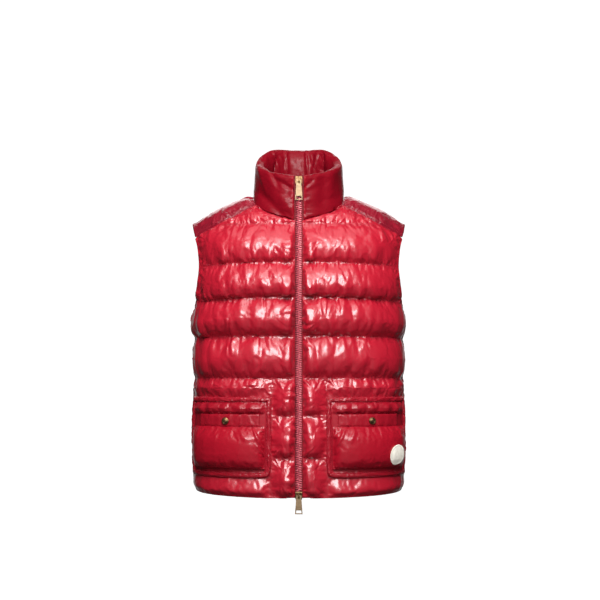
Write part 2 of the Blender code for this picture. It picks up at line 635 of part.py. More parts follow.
def build_pull(pull):
    """Tapered plate with an eye round the crown, whose top bar is the pin, and a window."""
    half_top, half_end = PULL_TOP_WIDTH / 2, PULL_END_WIDTH / 2
    eye = CROWN_WIDTH / 2 + PULL_CLEAR

    def half_width(drop):
        return lerp(half_top, half_end, min(max(drop / pull.length, 0.0), 1.0))

    bm = bmesh.new()
    window_end = pull.length - PULL_RIM
    window_start = window_end - PULL_WINDOW
    drops = [-0.8 * PIN_RADIUS, PULL_EYE, window_start, window_end, pull.length]
    holes = [eye, eye, half_width(window_start) - PULL_RIM, half_width(window_end) - PULL_RIM]
    front = {}
    for row, drop in enumerate(drops):
        edge = half_width(drop)
        hole = holes[min(row, 3)]
        for col, x in enumerate((-edge, -hole, hole, edge)):
            front[row, col] = bm.verts.new((x, -PULL_THICK / 2, -drop))
    for row in range(4):
        for col in range(3):
            if col == 1 and row in (0, 2):
                continue
            bm.faces.new((front[row, col], front[row, col + 1], front[row + 1, col + 1],
                          front[row + 1, col]))
    bmesh.ops.recalc_face_normals(bm, faces=bm.faces[:])
    swept = bmesh.ops.extrude_face_region(bm, geom=bm.faces[:])
    moved = [v for v in swept["geom"] if isinstance(v, bmesh.types.BMVert)]
    bmesh.ops.translate(bm, verts=moved, vec=(0, PULL_THICK, 0))
    plate = add_object(pull.name, bm, BRASS, roughness=0.35, metallic=1.0, sharp=30.0)
    bevel = plate.modifiers.new("worn edge", "BEVEL")
    bevel.width = PULL_BEVEL
    bevel.segments = 1
    bevel.limit_method = "ANGLE"

    pin_mesh = bmesh.new()
    bmesh.ops.create_cone(pin_mesh, cap_ends=True, segments=16, radius1=PIN_RADIUS,
                          radius2=PIN_RADIUS, depth=PULL_TOP_WIDTH - 2 * PULL_BEVEL,
                          matrix=Matrix.Rotation(math.pi / 2, 4, "Y"))
    pin = add_object(pull.name + "_pin", pin_mesh, BRASS)
    pin.hide_render = True
    pin.display_type = "WIRE"
    union = plate.modifiers.new("pin", "BOOLEAN")
    union.operation = "UNION"
    union.object = pin
    union.solver = "EXACT"
    for obj in (plate, pin):
        obj.location = hinge_place(pull)
    return plate


# ---------------------------------------------------------------- pockets
def faceted_front(side, share, z):
    """Point and outward direction on the flat facets between a front's own lines."""
    c = min(bisect_right(FRONT_SHARES, share), len(FRONT_SHARES) - 1) - 1
    r = min(bisect_right(FRONT_ROWS, z), len(FRONT_ROWS) - 1) - 1
    across = (share - FRONT_SHARES[c]) / (FRONT_SHARES[c + 1] - FRONT_SHARES[c])
    up = (z - FRONT_ROWS[r]) / (FRONT_ROWS[r + 1] - FRONT_ROWS[r])
    corners = [[front_point(side, FRONT_SHARES[c + i], FRONT_ROWS[r + j]) for i in (0, 1)]
               for j in (0, 1)]
    point = corners[0][0].lerp(corners[0][1], across).lerp(
        corners[1][0].lerp(corners[1][1], across), up)
    outs = [[outward(p) for p in row] for row in corners]
    out = outs[0][0].lerp(outs[0][1], across).lerp(outs[1][0].lerp(outs[1][1], across), up)
    return point, out


def with_panel_lines(own, panel):
    """Lines of a layer, its own and the panel's, and which of them its inner face keeps."""
    near = 0.004 * (own[-1] - own[0])
    inside = [line for line in panel if own[0] + near < line < own[-1] - near]
    kept_own = [line for line in own if all(abs(line - other) > near for other in inside)]
    lines = sorted(kept_own + inside)
    keep = [i for i, line in enumerate(lines)
            if line in inside or i in (0, len(lines) - 1)]
    return lines, keep


def layer(name, side, own_us, own_vs, low, high, bend=lambda u, v: (u, v)):
    """A wall that lies on a front: low is its inner face's offset, high(u, v) its outer one's."""
    us, keep_us = with_panel_lines(own_us, FRONT_SHARES)
    vs, keep_vs = with_panel_lines(own_vs, FRONT_ROWS)
    bm = padded_wall(us, vs, lambda u, v: faceted_front(side, *bend(u, v)),
                     lambda u, v: low, high, keep_us, keep_vs, 0.0)
    return add_object(name, bm, RED)


def rounded(share, z):
    """The pocket's lower inner corner, drawn in to a round one."""
    across = (share - POCKET_IN) * FRONT_LENGTH
    up = z - POCKET_BOTTOM
    if across >= POCKET_CORNER or up >= POCKET_CORNER:
        return share, z
    dx, dz = POCKET_CORNER - across, POCKET_CORNER - up
    pull_in = max(dx, dz) / math.hypot(dx, dz)
    return (POCKET_IN + (POCKET_CORNER - dx * pull_in) / FRONT_LENGTH,
            POCKET_BOTTOM + POCKET_CORNER - dz * pull_in)


def build_pocket_base(name, side):
    """Frame sewn round the pocket and the gathered strip above its mouth."""
    border = POCKET_BORDER / FRONT_LENGTH
    slope = BORDER_SLOPE
    left, right = POCKET_IN + border, POCKET_OUT - border
    low, high = POCKET_BOTTOM + POCKET_BORDER, POCKET_TOP - POCKET_BORDER
    us = [POCKET_IN, POCKET_IN + slope / FRONT_LENGTH, left - slope / FRONT_LENGTH]
    us += [lerp(left, right, i / 12) for i in range(13)]
    us += [right + slope / FRONT_LENGTH, POCKET_OUT - slope / FRONT_LENGTH, POCKET_OUT]
    vs = [POCKET_BOTTOM, POCKET_BOTTOM + slope, low - slope, low, STRIP_BOTTOM]
    vs += [lerp(STRIP_BOTTOM, high, step) for step in (0.2, 0.5, 0.8, 1.0)]
    vs += [high + slope, POCKET_TOP - slope, POCKET_TOP]

    def raised(share, z):
        floor = SEAM_THICK + LAYER_GAP + BASE_THICK
        if share in (POCKET_IN, POCKET_OUT) or z in (POCKET_BOTTOM, POCKET_TOP):
            return floor
        if not left - 1e-6 <= share <= right + 1e-6 or not low - 1e-6 <= z <= high + 1e-6:
            return floor + BASE_RAISED
        if STRIP_BOTTOM < z < high - 1e-6 and left + 1e-6 < share < right - 1e-6:
            up = (z - STRIP_BOTTOM) / (high - STRIP_BOTTOM)
            rib = 1 + 0.22 * math.cos(math.pi * round(12 * (share - left) / (right - left)))
            return floor + BASE_PUFF * swell(up) * rib
        return floor

    return layer(name, side, us, vs, SEAM_THICK + LAYER_GAP, raised, rounded)


def pouch_height(share, z):
    """How far the pouch stands out of the front's inner face."""
    across = 2 * (share - POUCH_IN) / (POUCH_OUT - POUCH_IN) - 1
    upward = 2 * (z - POUCH_BOTTOM) / (POUCH_TOP - POUCH_BOTTOM) - 1
    full = max(1 - abs(across) ** 4, 0.0) ** 0.6 * max(1 - abs(upward) ** 3, 0.0) ** 0.6
    return LAYER_TWO + POUCH_THICK + POUCH_PUFF * full


def build_pouch(name, side):
    """Puffed bag of the pocket, flat where the band is sewn to it and at its other edges."""
    us = [lerp(POUCH_IN, POUCH_OUT, i / 12) for i in range(13)]
    us[1:1] = [lerp(us[0], us[1], 0.35)]
    us[-1:-1] = [lerp(us[-1], us[-2], 0.35)]
    vs = [lerp(POUCH_BOTTOM, POUCH_TOP, s) for s in (0, 0.07, 0.2, 0.4, 0.6, 0.8, 0.93, 1.0)]

    return layer(name, side, us, vs, LAYER_TWO, pouch_height)


def build_band(name, side):
    """Flat band along the mouth, with rounded edges."""
    inset = BAND_EDGE / FRONT_LENGTH
    us = [BAND_IN, BAND_IN + inset] + [lerp(BAND_IN, BAND_OUT, i / 8) for i in range(1, 8)]
    us += [BAND_OUT - inset, BAND_OUT]
    vs = [BAND_BOTTOM, BAND_BOTTOM + BAND_EDGE, BAND_TOP - BAND_EDGE, BAND_TOP]

    def high(share, z):
        edge = z in (BAND_BOTTOM, BAND_TOP) or share in (BAND_IN, BAND_OUT)
        return LAYER_TWO + BAND_THICK - (BAND_ROUNDING if edge else 0.0)

    return layer(name, side, us, vs, LAYER_TWO, high)


def build_snap(name, side):
    """Domed cap of the snap fastener that holds the band down."""
    point, out = faceted_front(side, SNAP_AT, SNAP_Z)
    out.normalize()
    bm = bmesh.new()
    profile = [(0.0, 0.0), (0.92, 0.0), (1.0, 0.25), (0.94, 0.62), (0.70, 0.80), (0.62, 0.74),
               (0.35, 0.92), (0.0, 1.0)]
    verts = [bm.verts.new((SNAP_RADIUS * r, 0.0, SNAP_HEIGHT * h)) for r, h in profile]
    edges = [bm.edges.new(pair) for pair in zip(verts, verts[1:])]
    bmesh.ops.spin(bm, geom=verts + edges, cent=(0, 0, 0), axis=(0, 0, 1), angle=2 * math.pi,
                   steps=24, use_merge=True, use_duplicate=False)
    snap = add_object(name, bm, BRASS, roughness=0.35, metallic=1.0, sharp=30.0)
    snap.rotation_euler = out.to_track_quat("Z", "Y").to_euler()
    snap.location = point + out * (LAYER_TWO + BAND_THICK + SNAP_CLEAR)
    return snap


def build_patch(name, side):
    """Plain felt patch with round ends on the pouch, made from the pouch's own points."""
    steps = [math.sin(math.pi / 2 * i / 3) for i in range(-3, 4)]

    def surface(across, up):
        wide = across * math.sqrt(1 - up * up / 2)
        high = up * math.sqrt(1 - across * across / 2)
        share = PATCH_AT + wide * PATCH_WIDE / 2 / FRONT_LENGTH
        z = PATCH_Z + high * PATCH_HIGH / 2
        point, out = faceted_front(side, share, z)
        return point + out * (pouch_height(share, z) + PATCH_CLEAR), out

    bm = padded_wall(steps, steps, surface, lambda u, v: 0.0, lambda u, v: PATCH_THICK,
                     range(len(steps)), range(len(steps)), 0.0)
    return add_object(name, bm, CREAM, roughness=0.9)


# ---------------------------------------------------------------- build
def main():
    for obj in list(bpy.data.objects):
        bpy.data.objects.remove(obj, do_unlink=True)
    build_back()
    build_collar()
    chain_bottom = PULLS[1].z + SLIDER_LENGTH / 2 + 0.0003
    chain_top = PULLS[0].z - SLIDER_LENGTH / 2 - 0.0003
    for tag, side in (("left", -1), ("right", 1)):
        build_front("front_" + tag, side)
        build_yoke("yoke_" + tag, side)
        build_pocket_base("pocket_base_" + tag, side)
        build_pouch("pocket_pouch_" + tag, side)
        build_band("pocket_band_" + tag, side)
        build_snap("snap_" + tag, side)
        build_strip("zip_tape_" + tag, side, ZIP_EDGE - TAPE_WIDTH - SEAM_GAP / 2, TAPE_WIDTH,
                    TAPE_THICK, QUILTS[0].z + 0.0002, zip_path()[-1].z, TAPE_RED)
        build_strip("zip_chain_" + tag, side, 0.0002, CHAIN_WIDTH, CHAIN_THICK, chain_bottom,
                    chain_top, RED)
    build_patch("patch", 1)
    for pull in PULLS:
        build_slider(pull)
        build_pull(pull)


main()
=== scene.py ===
# %% [markdown]
# # A quilted vest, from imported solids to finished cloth
#
# The vest arrives as closed solids in their final places: two fronts, a back, two yokes, a
# collar, the pockets, the zip and its hardware. This lesson dresses them. The padded pieces
# are blown up and gathered between their stitches by a cloth simulation, the small hard
# pieces are modelled in detail, and every surface gets a material made of nodes.
#
# The zip lies in the plane x = 0, the front of the vest faces -Y and +Z is up. All sizes are
# in metres.

import math

import bmesh
import bpy
import numpy as np
from mathutils import Matrix, Vector, noise
from mathutils.bvhtree import BVHTree
from mathutils.kdtree import KDTree


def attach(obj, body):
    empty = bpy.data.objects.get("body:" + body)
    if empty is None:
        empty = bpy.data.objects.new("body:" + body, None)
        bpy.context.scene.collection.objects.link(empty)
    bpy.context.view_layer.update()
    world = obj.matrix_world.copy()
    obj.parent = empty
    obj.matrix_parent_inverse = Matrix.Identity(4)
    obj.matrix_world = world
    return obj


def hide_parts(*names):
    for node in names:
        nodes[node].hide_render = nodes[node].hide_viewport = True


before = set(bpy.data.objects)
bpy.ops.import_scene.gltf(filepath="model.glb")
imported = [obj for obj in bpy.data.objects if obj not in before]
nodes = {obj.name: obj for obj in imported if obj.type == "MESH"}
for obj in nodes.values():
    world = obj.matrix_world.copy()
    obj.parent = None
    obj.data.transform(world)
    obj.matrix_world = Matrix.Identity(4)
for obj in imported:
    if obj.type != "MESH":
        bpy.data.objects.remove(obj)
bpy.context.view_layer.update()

# %% [markdown]
# ## Camera
#
# A vest in a catalogue is filled out and hangs free, seen from straight ahead. A short lens
# close by would bulge its middle, so the camera stands well back with a long one. The lens is
# worked out from the width that the picture spans at the zip, and the camera tilts up a
# little, to see the vest slightly from below its middle.

# %% Camera
CAMERA_PLACE = Vector((0.0, -2.60, -0.311))
CAMERA_AIM = Vector((0.0022, 0.0, -0.1850))
FIELD_WIDTH = 1.08                       # metres seen across the picture at the zip's distance

camera_data = bpy.data.cameras.new("camera")
camera_data.sensor_width = 36.0
camera_data.lens = camera_data.sensor_width * abs(CAMERA_PLACE.y) / FIELD_WIDTH
camera = bpy.data.objects.new("camera", camera_data)
camera.location = CAMERA_PLACE
camera.rotation_euler = (CAMERA_AIM - CAMERA_PLACE).to_track_quat("-Z", "Y").to_euler()
bpy.context.collection.objects.link(camera)
bpy.context.scene.camera = camera
bpy.context.scene.view_settings.view_transform = "Standard"
print("lens", round(camera_data.lens, 1), "mm")


# %% [markdown]
# ## Nodes written as arithmetic
#
# A material is a small program made of nodes. It can be wired up socket by socket, but then
# its formula drowns in links. Here a class wraps an output socket and overloads Python's
# operators, so that 1 - mask adds a Math node, and one method adds every other kind of node.

# %% A socket on which arithmetic adds Math nodes
class Wire:
    """An output socket in a node tree."""

    def __init__(self, tree, socket):
        self.tree = tree
        self.socket = socket

    def maths(self, operation, *values):
        return self.tree.wire("ShaderNodeMath", 0, {"operation": operation},
                              dict(enumerate(values)))

    def __add__(self, other):
        return self.maths("ADD", self, other)

    def __mul__(self, other):
        return self.maths("MULTIPLY", self, other)

    def __sub__(self, other):
        return self.maths("SUBTRACT", self, other)

    def __rsub__(self, other):
        return self.maths("SUBTRACT", other, self)

    def __truediv__(self, other):
        return self.maths("DIVIDE", self, other)

    def __rtruediv__(self, other):
        return self.maths("DIVIDE", other, self)

    __radd__ = __add__
    __rmul__ = __mul__

    def abs(self):
        return self.maths("ABSOLUTE", self)

    def between(self, low, high):
        """0 below low and 1 above high."""
        return self.tree.wire("ShaderNodeMapRange", 0, {"interpolation_type": "SMOOTHSTEP"},
                              {0: self, 1: low, 2: high})


# %% A node tree with one way to add a node
class Tree:
    """A node tree that adds a node from its type, its settings and its inputs."""

    def __init__(self, node_tree):
        self.nodes = node_tree.nodes
        self.links = node_tree.links

    def feed(self, node, inputs):
        """Links a socket where it is given a wire, and sets it where it is given a value."""
        for key, value in inputs.items():
            if isinstance(value, Wire):
                self.links.new(value.socket, node.inputs[key])
            else:
                node.inputs[key].default_value = value

    def node(self, kind, settings=None, inputs=None):
        node = self.nodes.new(kind)
        for key, value in (settings or {}).items():
            setattr(node, key, value)
        self.feed(node, inputs or {})
        return node

    def wire(self, kind, output, settings=None, inputs=None):
        """One output of a new node."""
        return Wire(self, self.node(kind, settings, inputs).outputs[output])


# %% A material with the textures that this vest needs
def socket_names(sockets):
    return {key.replace("_", " "): value for key, value in sockets.items()}


class Finish(Tree):
    """A new material round one Principled shader, whose fixed sockets are set by name."""

    def __init__(self, name, **sockets):
        self.material = bpy.data.materials.new(name)
        self.material.use_nodes = True
        super().__init__(self.material.node_tree)
        self.shader = self.nodes["Principled BSDF"]
        self.feed(self.shader, socket_names(sockets))

    def place(self, scale=(1, 1, 1)):
        """Object coordinates, scaled by a Mapping node."""
        source = self.wire("ShaderNodeTexCoord", "Object")
        return self.wire("ShaderNodeMapping", 0, None, {"Vector": source, "Scale": scale})

    def noise(self, scale, detail=2.0, roughness=0.5, where=None):
        return self.wire("ShaderNodeTexNoise", 0, None,
                         {"Vector": where or self.place(), "Scale": scale, "Detail": detail,
                          "Roughness": roughness})

    def ribs(self, bands, scale, where=None):
        """A wave texture: ribs across the given axis."""
        return self.wire("ShaderNodeTexWave", "Fac", {"bands_direction": bands},
                         {"Vector": where or self.place(), "Scale": scale})

    def attribute(self, name, output="Fac"):
        return self.wire("ShaderNodeAttribute", output, {"attribute_name": name})

    def blend(self, share, first, second):
        """Mix of two colours."""
        return self.wire("ShaderNodeMix", 2, {"data_type": "RGBA"},
                         {0: share, 6: first, 7: second})

    def bump(self, height, distance, strength=1.0, normal=None):
        inputs = {"Height": height, "Distance": distance, "Strength": strength}
        if normal:
            inputs["Normal"] = normal
        return self.wire("ShaderNodeBump", 0, None, inputs)

    def surface(self, **sockets):
        self.feed(self.shader, socket_names(sockets))
        return self.material


print("node helpers:", Wire.__name__, Tree.__name__, Finish.__name__)

# %% [markdown]
# ## Sweep
#
# A studio hangs a roll of white paper that bends from the wall into the floor, so that no
# corner shows. A bent plane would do for one camera. This sweep is spun right round the vest
# from its profile, so it is white from every side. It glows a little, which keeps it white
# without light being wasted on it, and the glossy cloth doesn't mirror it, because a real
# studio is dark outside the roll.

# %% Paper sweep
FLOOR_Z, WALL_TOP_Z = -0.98, 6.0
WALL_RADIUS, BEND_RADIUS = 4.2, 1.2
BEND_POINTS, SWEEP_STEPS = 10, 64
MERGE_DISTANCE = 0.0001


def sweep_profile():
    """y and z of points from the middle of the floor, round the bend and up the wall."""
    bend_start = WALL_RADIUS - BEND_RADIUS
    bend = [(bend_start + BEND_RADIUS * math.sin(t), FLOOR_Z + BEND_RADIUS * (1 - math.cos(t)))
            for t in np.linspace(0.0, math.pi / 2, BEND_POINTS)]
    return [(0.0, FLOOR_Z), *bend, (WALL_RADIUS, WALL_TOP_Z)]


def build_sweep():
    bm = bmesh.new()
    line = [bm.verts.new((0.0, y, z)) for y, z in sweep_profile()]
    edges = [bm.edges.new(pair) for pair in zip(line, line[1:])]
    bmesh.ops.spin(bm, geom=line + edges, cent=(0, 0, 0), axis=(0, 0, 1), angle=math.tau,
                   steps=SWEEP_STEPS, use_merge=True)
    bmesh.ops.remove_doubles(bm, verts=bm.verts, dist=MERGE_DISTANCE)
    bmesh.ops.recalc_face_normals(bm, faces=bm.faces)
    mesh = bpy.data.meshes.new("sweep")
    bm.to_mesh(mesh)
    bm.free()
    mesh.shade_smooth()
    sweep = bpy.data.objects.new("sweep", mesh)
    bpy.context.collection.objects.link(sweep)
    return sweep


WHITE = (1.0, 1.0, 1.0, 1.0)
paper = Finish("paper", Roughness=0.9, Base_Color=(0.90, 0.90, 0.90, 1.0),
               Emission_Color=WHITE, Emission_Strength=0.86)
sweep = build_sweep()
sweep.data.materials.append(paper.material)
sweep.visible_glossy = sweep.visible_diffuse = sweep.visible_shadow = False
print("sweep faces:", len(sweep.data.polygons))

# %% [markdown]
# ## Room
#
# Glossy cloth is a mirror for the room. A recorded room could be wrapped round the vest as a
# panorama, but two values are enough: the room is dim all round, which keeps the red
# deep, and bright straight behind the vest, which draws the pale rims along its sides.

# %% Light of the room
ROOM_DIM, ROOM_BRIGHT = 0.03, 0.70         # strength of the world's light, all round and behind
BEHIND_START, BEHIND_FULL = 0.75, 1.00     # y of the directions between which it rises

world = bpy.data.worlds.new("room")
world.use_nodes = True
bpy.context.scene.world = world
room = Tree(world.node_tree)
direction = room.wire("ShaderNodeTexCoord", "Generated")
behind = room.wire("ShaderNodeSeparateXYZ", "Y", None, {0: direction})
strength = room.wire("ShaderNodeMapRange", 0, {"interpolation_type": "SMOOTHSTEP"},
                     {0: behind, 1: BEHIND_START, 2: BEHIND_FULL, 3: ROOM_DIM,
                      4: ROOM_BRIGHT})
room.feed(room.nodes["Background"], {"Color": WHITE, "Strength": strength})
print("room nodes:", len(room.nodes))

# %% [markdown]
# ## Lights
#
# The key light hangs above the camera, and its mirror image is the white patch beside the zip
# on every quilted row. A wider light higher up gives the softer glow round those patches, and
# one behind does the same for the back. Highlights come only from lights that glossy cloth
# may see, so the fills that just lift the red are hidden from glossy rays. A fill that could
# be seen would lay a flat pink shape with hard edges over the rows.

# %% Lights
BODY_MIDDLE, CHEST, POCKETS = (0.0, 0.0, -0.25), (0.0, 0.0, -0.1), (0.0, 0.0, -0.3)


def lit_area(name, place, aim, size, watts, glossy=True, camera=True):
    """A soft rectangular light at place that points at aim."""
    data = bpy.data.lights.new(name, "AREA")
    data.shape = "RECTANGLE"
    data.size, data.size_y = size
    data.energy = watts
    light = bpy.data.objects.new(name, data)
    light.location = place
    light.rotation_euler = (Vector(aim) - Vector(place)).to_track_quat("-Z", "Y").to_euler()
    light.visible_glossy, light.visible_camera = glossy, camera
    bpy.context.collection.objects.link(light)
    print(name, watts, "W")


lit_area("key_light", (0.0, -2.30, 0.86), BODY_MIDDLE, (1.15, 1.10), 50)
lit_area("wide_light", (0.0, -1.90, 1.50), BODY_MIDDLE, (2.0, 1.5), 24)
lit_area("top_light", (0.0, -0.4, 1.90), CHEST, (2.0, 1.3), 8)
lit_area("top_fill", (0.0, -1.05, 0.85), CHEST, (0.9, 0.9), 24, glossy=False)
lit_area("low_fill", (0.0, -1.3, -0.95), POCKETS, (1.2, 1.0), 4, glossy=False)
lit_area("back_light", (0.0, 2.30, 1.00), BODY_MIDDLE, (2.2, 1.6), 22, camera=False)
lit_area("back_fill", (0.0, 2.0, 0.30), BODY_MIDDLE, (1.6, 1.2), 34, glossy=False, camera=False)

# %% [markdown]
# ## Cloth: glossy shell, duller yokes
#
# The shell is a very thin nylon, hot-rolled until it shines. The nylon's own colour is even;
# what varies is the relief: a plain weave far finer than the eye sees, and small crinkles that
# run square to the stitches. A scanned cloth could supply both, but it would repeat, and its
# crinkles wouldn't know where the seams are. Here each padded piece carries its distance to the
# nearest seam as an attribute, and the crinkles fade away from it. The same distance darkens the
# colour beside each seam as painted shade of the folds there, and the pocket bags, the flat
# borders and bands and the collar take darker copies of the same red as painted shade. A clear
# coat over a softer base gives both gloss lobes of a rolled nylon, the mirror of the smooth side
# and the wide glow of the threads.

# %% Weave
WEAVE_PITCH, WEAVE_DEPTH = 0.00045, 0.00002
WAVE_UNIT = 0.314                        # at this scale a wave texture repeats once a unit


def weave(finish, under):
    """Bump of a plain weave, two ribs that cross, on top of another bump."""
    place = finish.place((1 / WEAVE_PITCH,) * 3)
    warp, weft = (finish.ribs(axis, WAVE_UNIT, place) for axis in ("X", "Z"))
    return finish.bump(warp * weft, WEAVE_DEPTH, 0.3, under)


print("weave pitch", WEAVE_PITCH * 1000, "mm")

# %% Fine creases beside the seams
WANDER_SCALE, WANDER_SHARE = 30.0, 0.6           # how far a crease strays as it leaves the seam
WIDE_SCALE, FINE_SCALE, FINE_SHARE = 105.0, 250.0, 0.35
LENGTH_SCALE, CREASE_LENGTH = 60.0, 0.024        # creases differ in length, up to the second


def seam_creases(finish, gap):
    """Height of fine creases that run square to the nearest seam and die away from it."""
    wander = finish.wire("ShaderNodeTexNoise", "Color", None,
                         {"Vector": finish.place(), "Scale": WANDER_SCALE, "Detail": 1.0})
    bend = finish.wire("ShaderNodeVectorMath", 0, {"operation": "SCALE"},
                       {0: wander, "Scale": gap * WANDER_SHARE})
    where = finish.wire("ShaderNodeVectorMath", 0, {"operation": "ADD"},
                        {0: finish.attribute("seam_foot", "Vector"), 1: bend})
    wide = (finish.noise(WIDE_SCALE, 0.0, 0.5, where) - 0.5).abs()
    fine = (finish.noise(FINE_SCALE, 1.0, 0.5, where) - 0.5).abs()
    length = finish.noise(LENGTH_SCALE, 0.0, 0.5, where) * CREASE_LENGTH
    fade = 1 - (gap / length).between(0.0, 1.0)
    return (wide + fine * FINE_SHARE) * fade


print("creases up to", CREASE_LENGTH * 1000, "mm long")

# %% Shell materials
SEAM_SHADE_WIDTH, PAINTED_SEAM_SHADE = 0.007, 0.4        # painted shade: beside a seam the colour darkens towards the fold red
PATCH_SCALE, PATCH_SHADE, PATCH_TONE = 9.0, 0.25, 0.86
BODY_SCALE, BODY_STRETCH = 42.0, (1.8, 1.8, 0.6)
CREASE_SHARE, BODY_SHARE = 1.2, 0.20             # of the two kinds of relief
MOTTLE_SCALE, MOTTLE_DEPTH = 34.0, 0.08


def shell_cloth(name, colour, seam_shade_colour, rough, specular, coat, coat_rough, crinkle):
    """Nylon of one colour, darkened beside a seam towards the second colour as painted shade."""
    finish = Finish(name, Coat_Weight=coat, Coat_Roughness=coat_rough,
                    Specular_IOR_Level=specular, Coat_IOR=1.65)
    gap = finish.attribute("seam_gap")
    # Painted shade: a mask that is 1 at a seam and fades out within a few millimetres of it.
    seam_shade_mask = 1 - gap.between(0.0, SEAM_SHADE_WIDTH)
    patchy = finish.noise(PATCH_SCALE, 3.0).between(0.35, 0.65)
    shaded = [PATCH_TONE * c for c in colour]
    base = finish.blend(patchy * PATCH_SHADE, (*colour, 1.0), (*shaded, 1.0))
    base = finish.blend(seam_shade_mask * PAINTED_SEAM_SHADE, base, (*seam_shade_colour, 1.0))
    body = finish.noise(BODY_SCALE, 2.0, 0.5, finish.place(BODY_STRETCH))
    relief = seam_creases(finish, gap) * CREASE_SHARE + body * BODY_SHARE
    mottled = finish.noise(MOTTLE_SCALE, 2.0) * MOTTLE_DEPTH
    print("cloth:", name)
    return finish.surface(Base_Color=base, Roughness=mottled + (rough - MOTTLE_DEPTH / 2),
                          Normal=weave(finish, finish.bump(relief, crinkle)))


# RED is the nylon's own colour; the fold red is painted shade beside the seams.
RED, SEAM_SHADE_RED = (0.355, 0.0050, 0.0178), (0.270, 0.0030, 0.0120)
# Painted shade: the pocket bags' red and the red of the flat borders and bands are darker copies
# of the nylon's own red.
BAG_SHADE_RED, FLAT_SHADE_RED = (0.290, 0.0036, 0.0132), (0.265, 0.0036, 0.0128)
# Painted shade: the collar's red is a darker copy of the same nylon's red.
COLLAR_SHADE_RED = (0.160, 0.0019, 0.0074)
# PLUM is the yokes' own colour; the fold plum is painted shade beside their seams.
PLUM, SEAM_SHADE_PLUM = (0.205, 0.0052, 0.0160), (0.120, 0.0030, 0.0100)
shell = shell_cloth("shell", RED, SEAM_SHADE_RED, rough=0.44, specular=0.46, coat=0.78,
                    coat_rough=0.21, crinkle=0.0011)
# Pocket bags, and flat borders and bands: the same nylon, with darker colours as painted shade.
bag_shade_shell = shell_cloth("bag_shade_shell", BAG_SHADE_RED, SEAM_SHADE_RED, rough=0.40, specular=0.18, coat=0.46,
                        coat_rough=0.22, crinkle=0.0008)
flat_shade_shell = shell_cloth("flat_shade_shell", FLAT_SHADE_RED, SEAM_SHADE_RED, rough=0.42, specular=0.26, coat=0.42,
                         coat_rough=0.26, crinkle=0.0004)
# The collar: the same nylon, its colour darkened as painted shade, and with less gloss.
collar_shade_shell = shell_cloth("collar_shade_shell", COLLAR_SHADE_RED, SEAM_SHADE_RED, rough=0.42, specular=0.08,
                           coat=0.13, coat_rough=0.22, crinkle=0.0006)
yoke_shell = shell_cloth("yoke_shell", PLUM, SEAM_SHADE_PLUM, rough=0.40, specular=0.28, coat=0.50,
                         coat_rough=0.20, crinkle=0.0012)

# %% [markdown]
# ## Thread, felt, zip tape and teeth
#
# Thread is twisted: a fine wave across each stitch. The felt of the patch has short fibres in
# all directions. Single hairs could be grown on it, but at this size a noise with much detail
# reads the same. The zip's tape is woven in ribs along its length, and its teeth are moulded
# in plastic of a paler red that wears brighter on top.

# %% Thread and felt
def thread_finish():
    finish = Finish("thread", Roughness=0.55, Specular_IOR_Level=0.25)
    twist = finish.ribs("DIAGONAL", 900.0)
    tone = finish.blend(twist, (0.26, 0.012, 0.024, 1), (0.50, 0.060, 0.085, 1))
    return finish.surface(Base_Color=tone, Normal=finish.bump(twist, 0.0001))


def felt_finish():
    finish = Finish("patch_felt", Roughness=0.95, Sheen_Weight=0.3, Sheen_Roughness=0.5)
    fibres = finish.noise(900.0, 6.0, 0.7)
    clumps = finish.noise(160.0, 3.0)
    tone = finish.blend(clumps.between(0.3, 0.7), (0.80, 0.74, 0.63, 1), (0.93, 0.88, 0.78, 1))
    relief = fibres * 0.6 + clumps * 0.4
    return finish.surface(Base_Color=tone, Normal=finish.bump(relief, 0.0004))


thread, felt = thread_finish(), felt_finish()
print("soft trims:", thread.name, felt.name)

# %% Zip tape and teeth
def tape_finish():
    finish = Finish("zip_tape", Roughness=0.62)
    ribs, picks = finish.ribs("X", 420.0), finish.ribs("Z", 560.0)
    tone = finish.blend(ribs * 0.6, (0.110, 0.0022, 0.0055, 1), (0.170, 0.0045, 0.0100, 1))
    return finish.surface(Base_Color=tone, Normal=finish.bump(ribs * 0.7 + picks * 0.5, 0.0002))


def teeth_finish():
    finish = Finish("zip_teeth", Roughness=0.30, Coat_Weight=0.3, Coat_Roughness=0.15)
    worn = finish.noise(300.0, 2.0).between(0.4, 0.7)
    tone = finish.blend(worn, (0.56, 0.080, 0.115, 1), (0.76, 0.170, 0.215, 1))
    return finish.surface(Base_Color=tone, Normal=finish.bump(worn, 0.00005))


tape_cloth, tooth_plastic = tape_finish(), teeth_finish()
print("zip materials:", tape_cloth.name, tooth_plastic.name)

# %% [markdown]
# ## Antique brass
#
# The sliders, pulls and snaps are brass that was browned and then rubbed bright where hands
# touch it. Geometry's Pointiness finds worn edges only on dense meshes, so the wear here is a
# noise, large patches with fine scratches across them.

# %% Brass
def brass_finish(name, bright, brown, rough):
    finish = Finish(name, Metallic=1.0)
    patches = finish.noise(140.0, 4.0, 0.6).between(0.38, 0.68)
    scratches = finish.noise(420.0, 3.0, 0.6, finish.place((1.0, 1.0, 9.0)))
    tone = finish.blend(patches, (*brown, 1.0), (*bright, 1.0))
    return finish.surface(Base_Color=tone, Roughness=scratches * 0.22 + rough,
                          Normal=finish.bump(scratches, 0.00004))


brass = brass_finish("brass", (0.34, 0.21, 0.10), (0.17, 0.10, 0.05), rough=0.30)
pull_brass = brass_finish("pull_brass", (0.56, 0.40, 0.25), (0.44, 0.31, 0.19), rough=0.46)
print("metals:", brass.name, pull_brass.name)

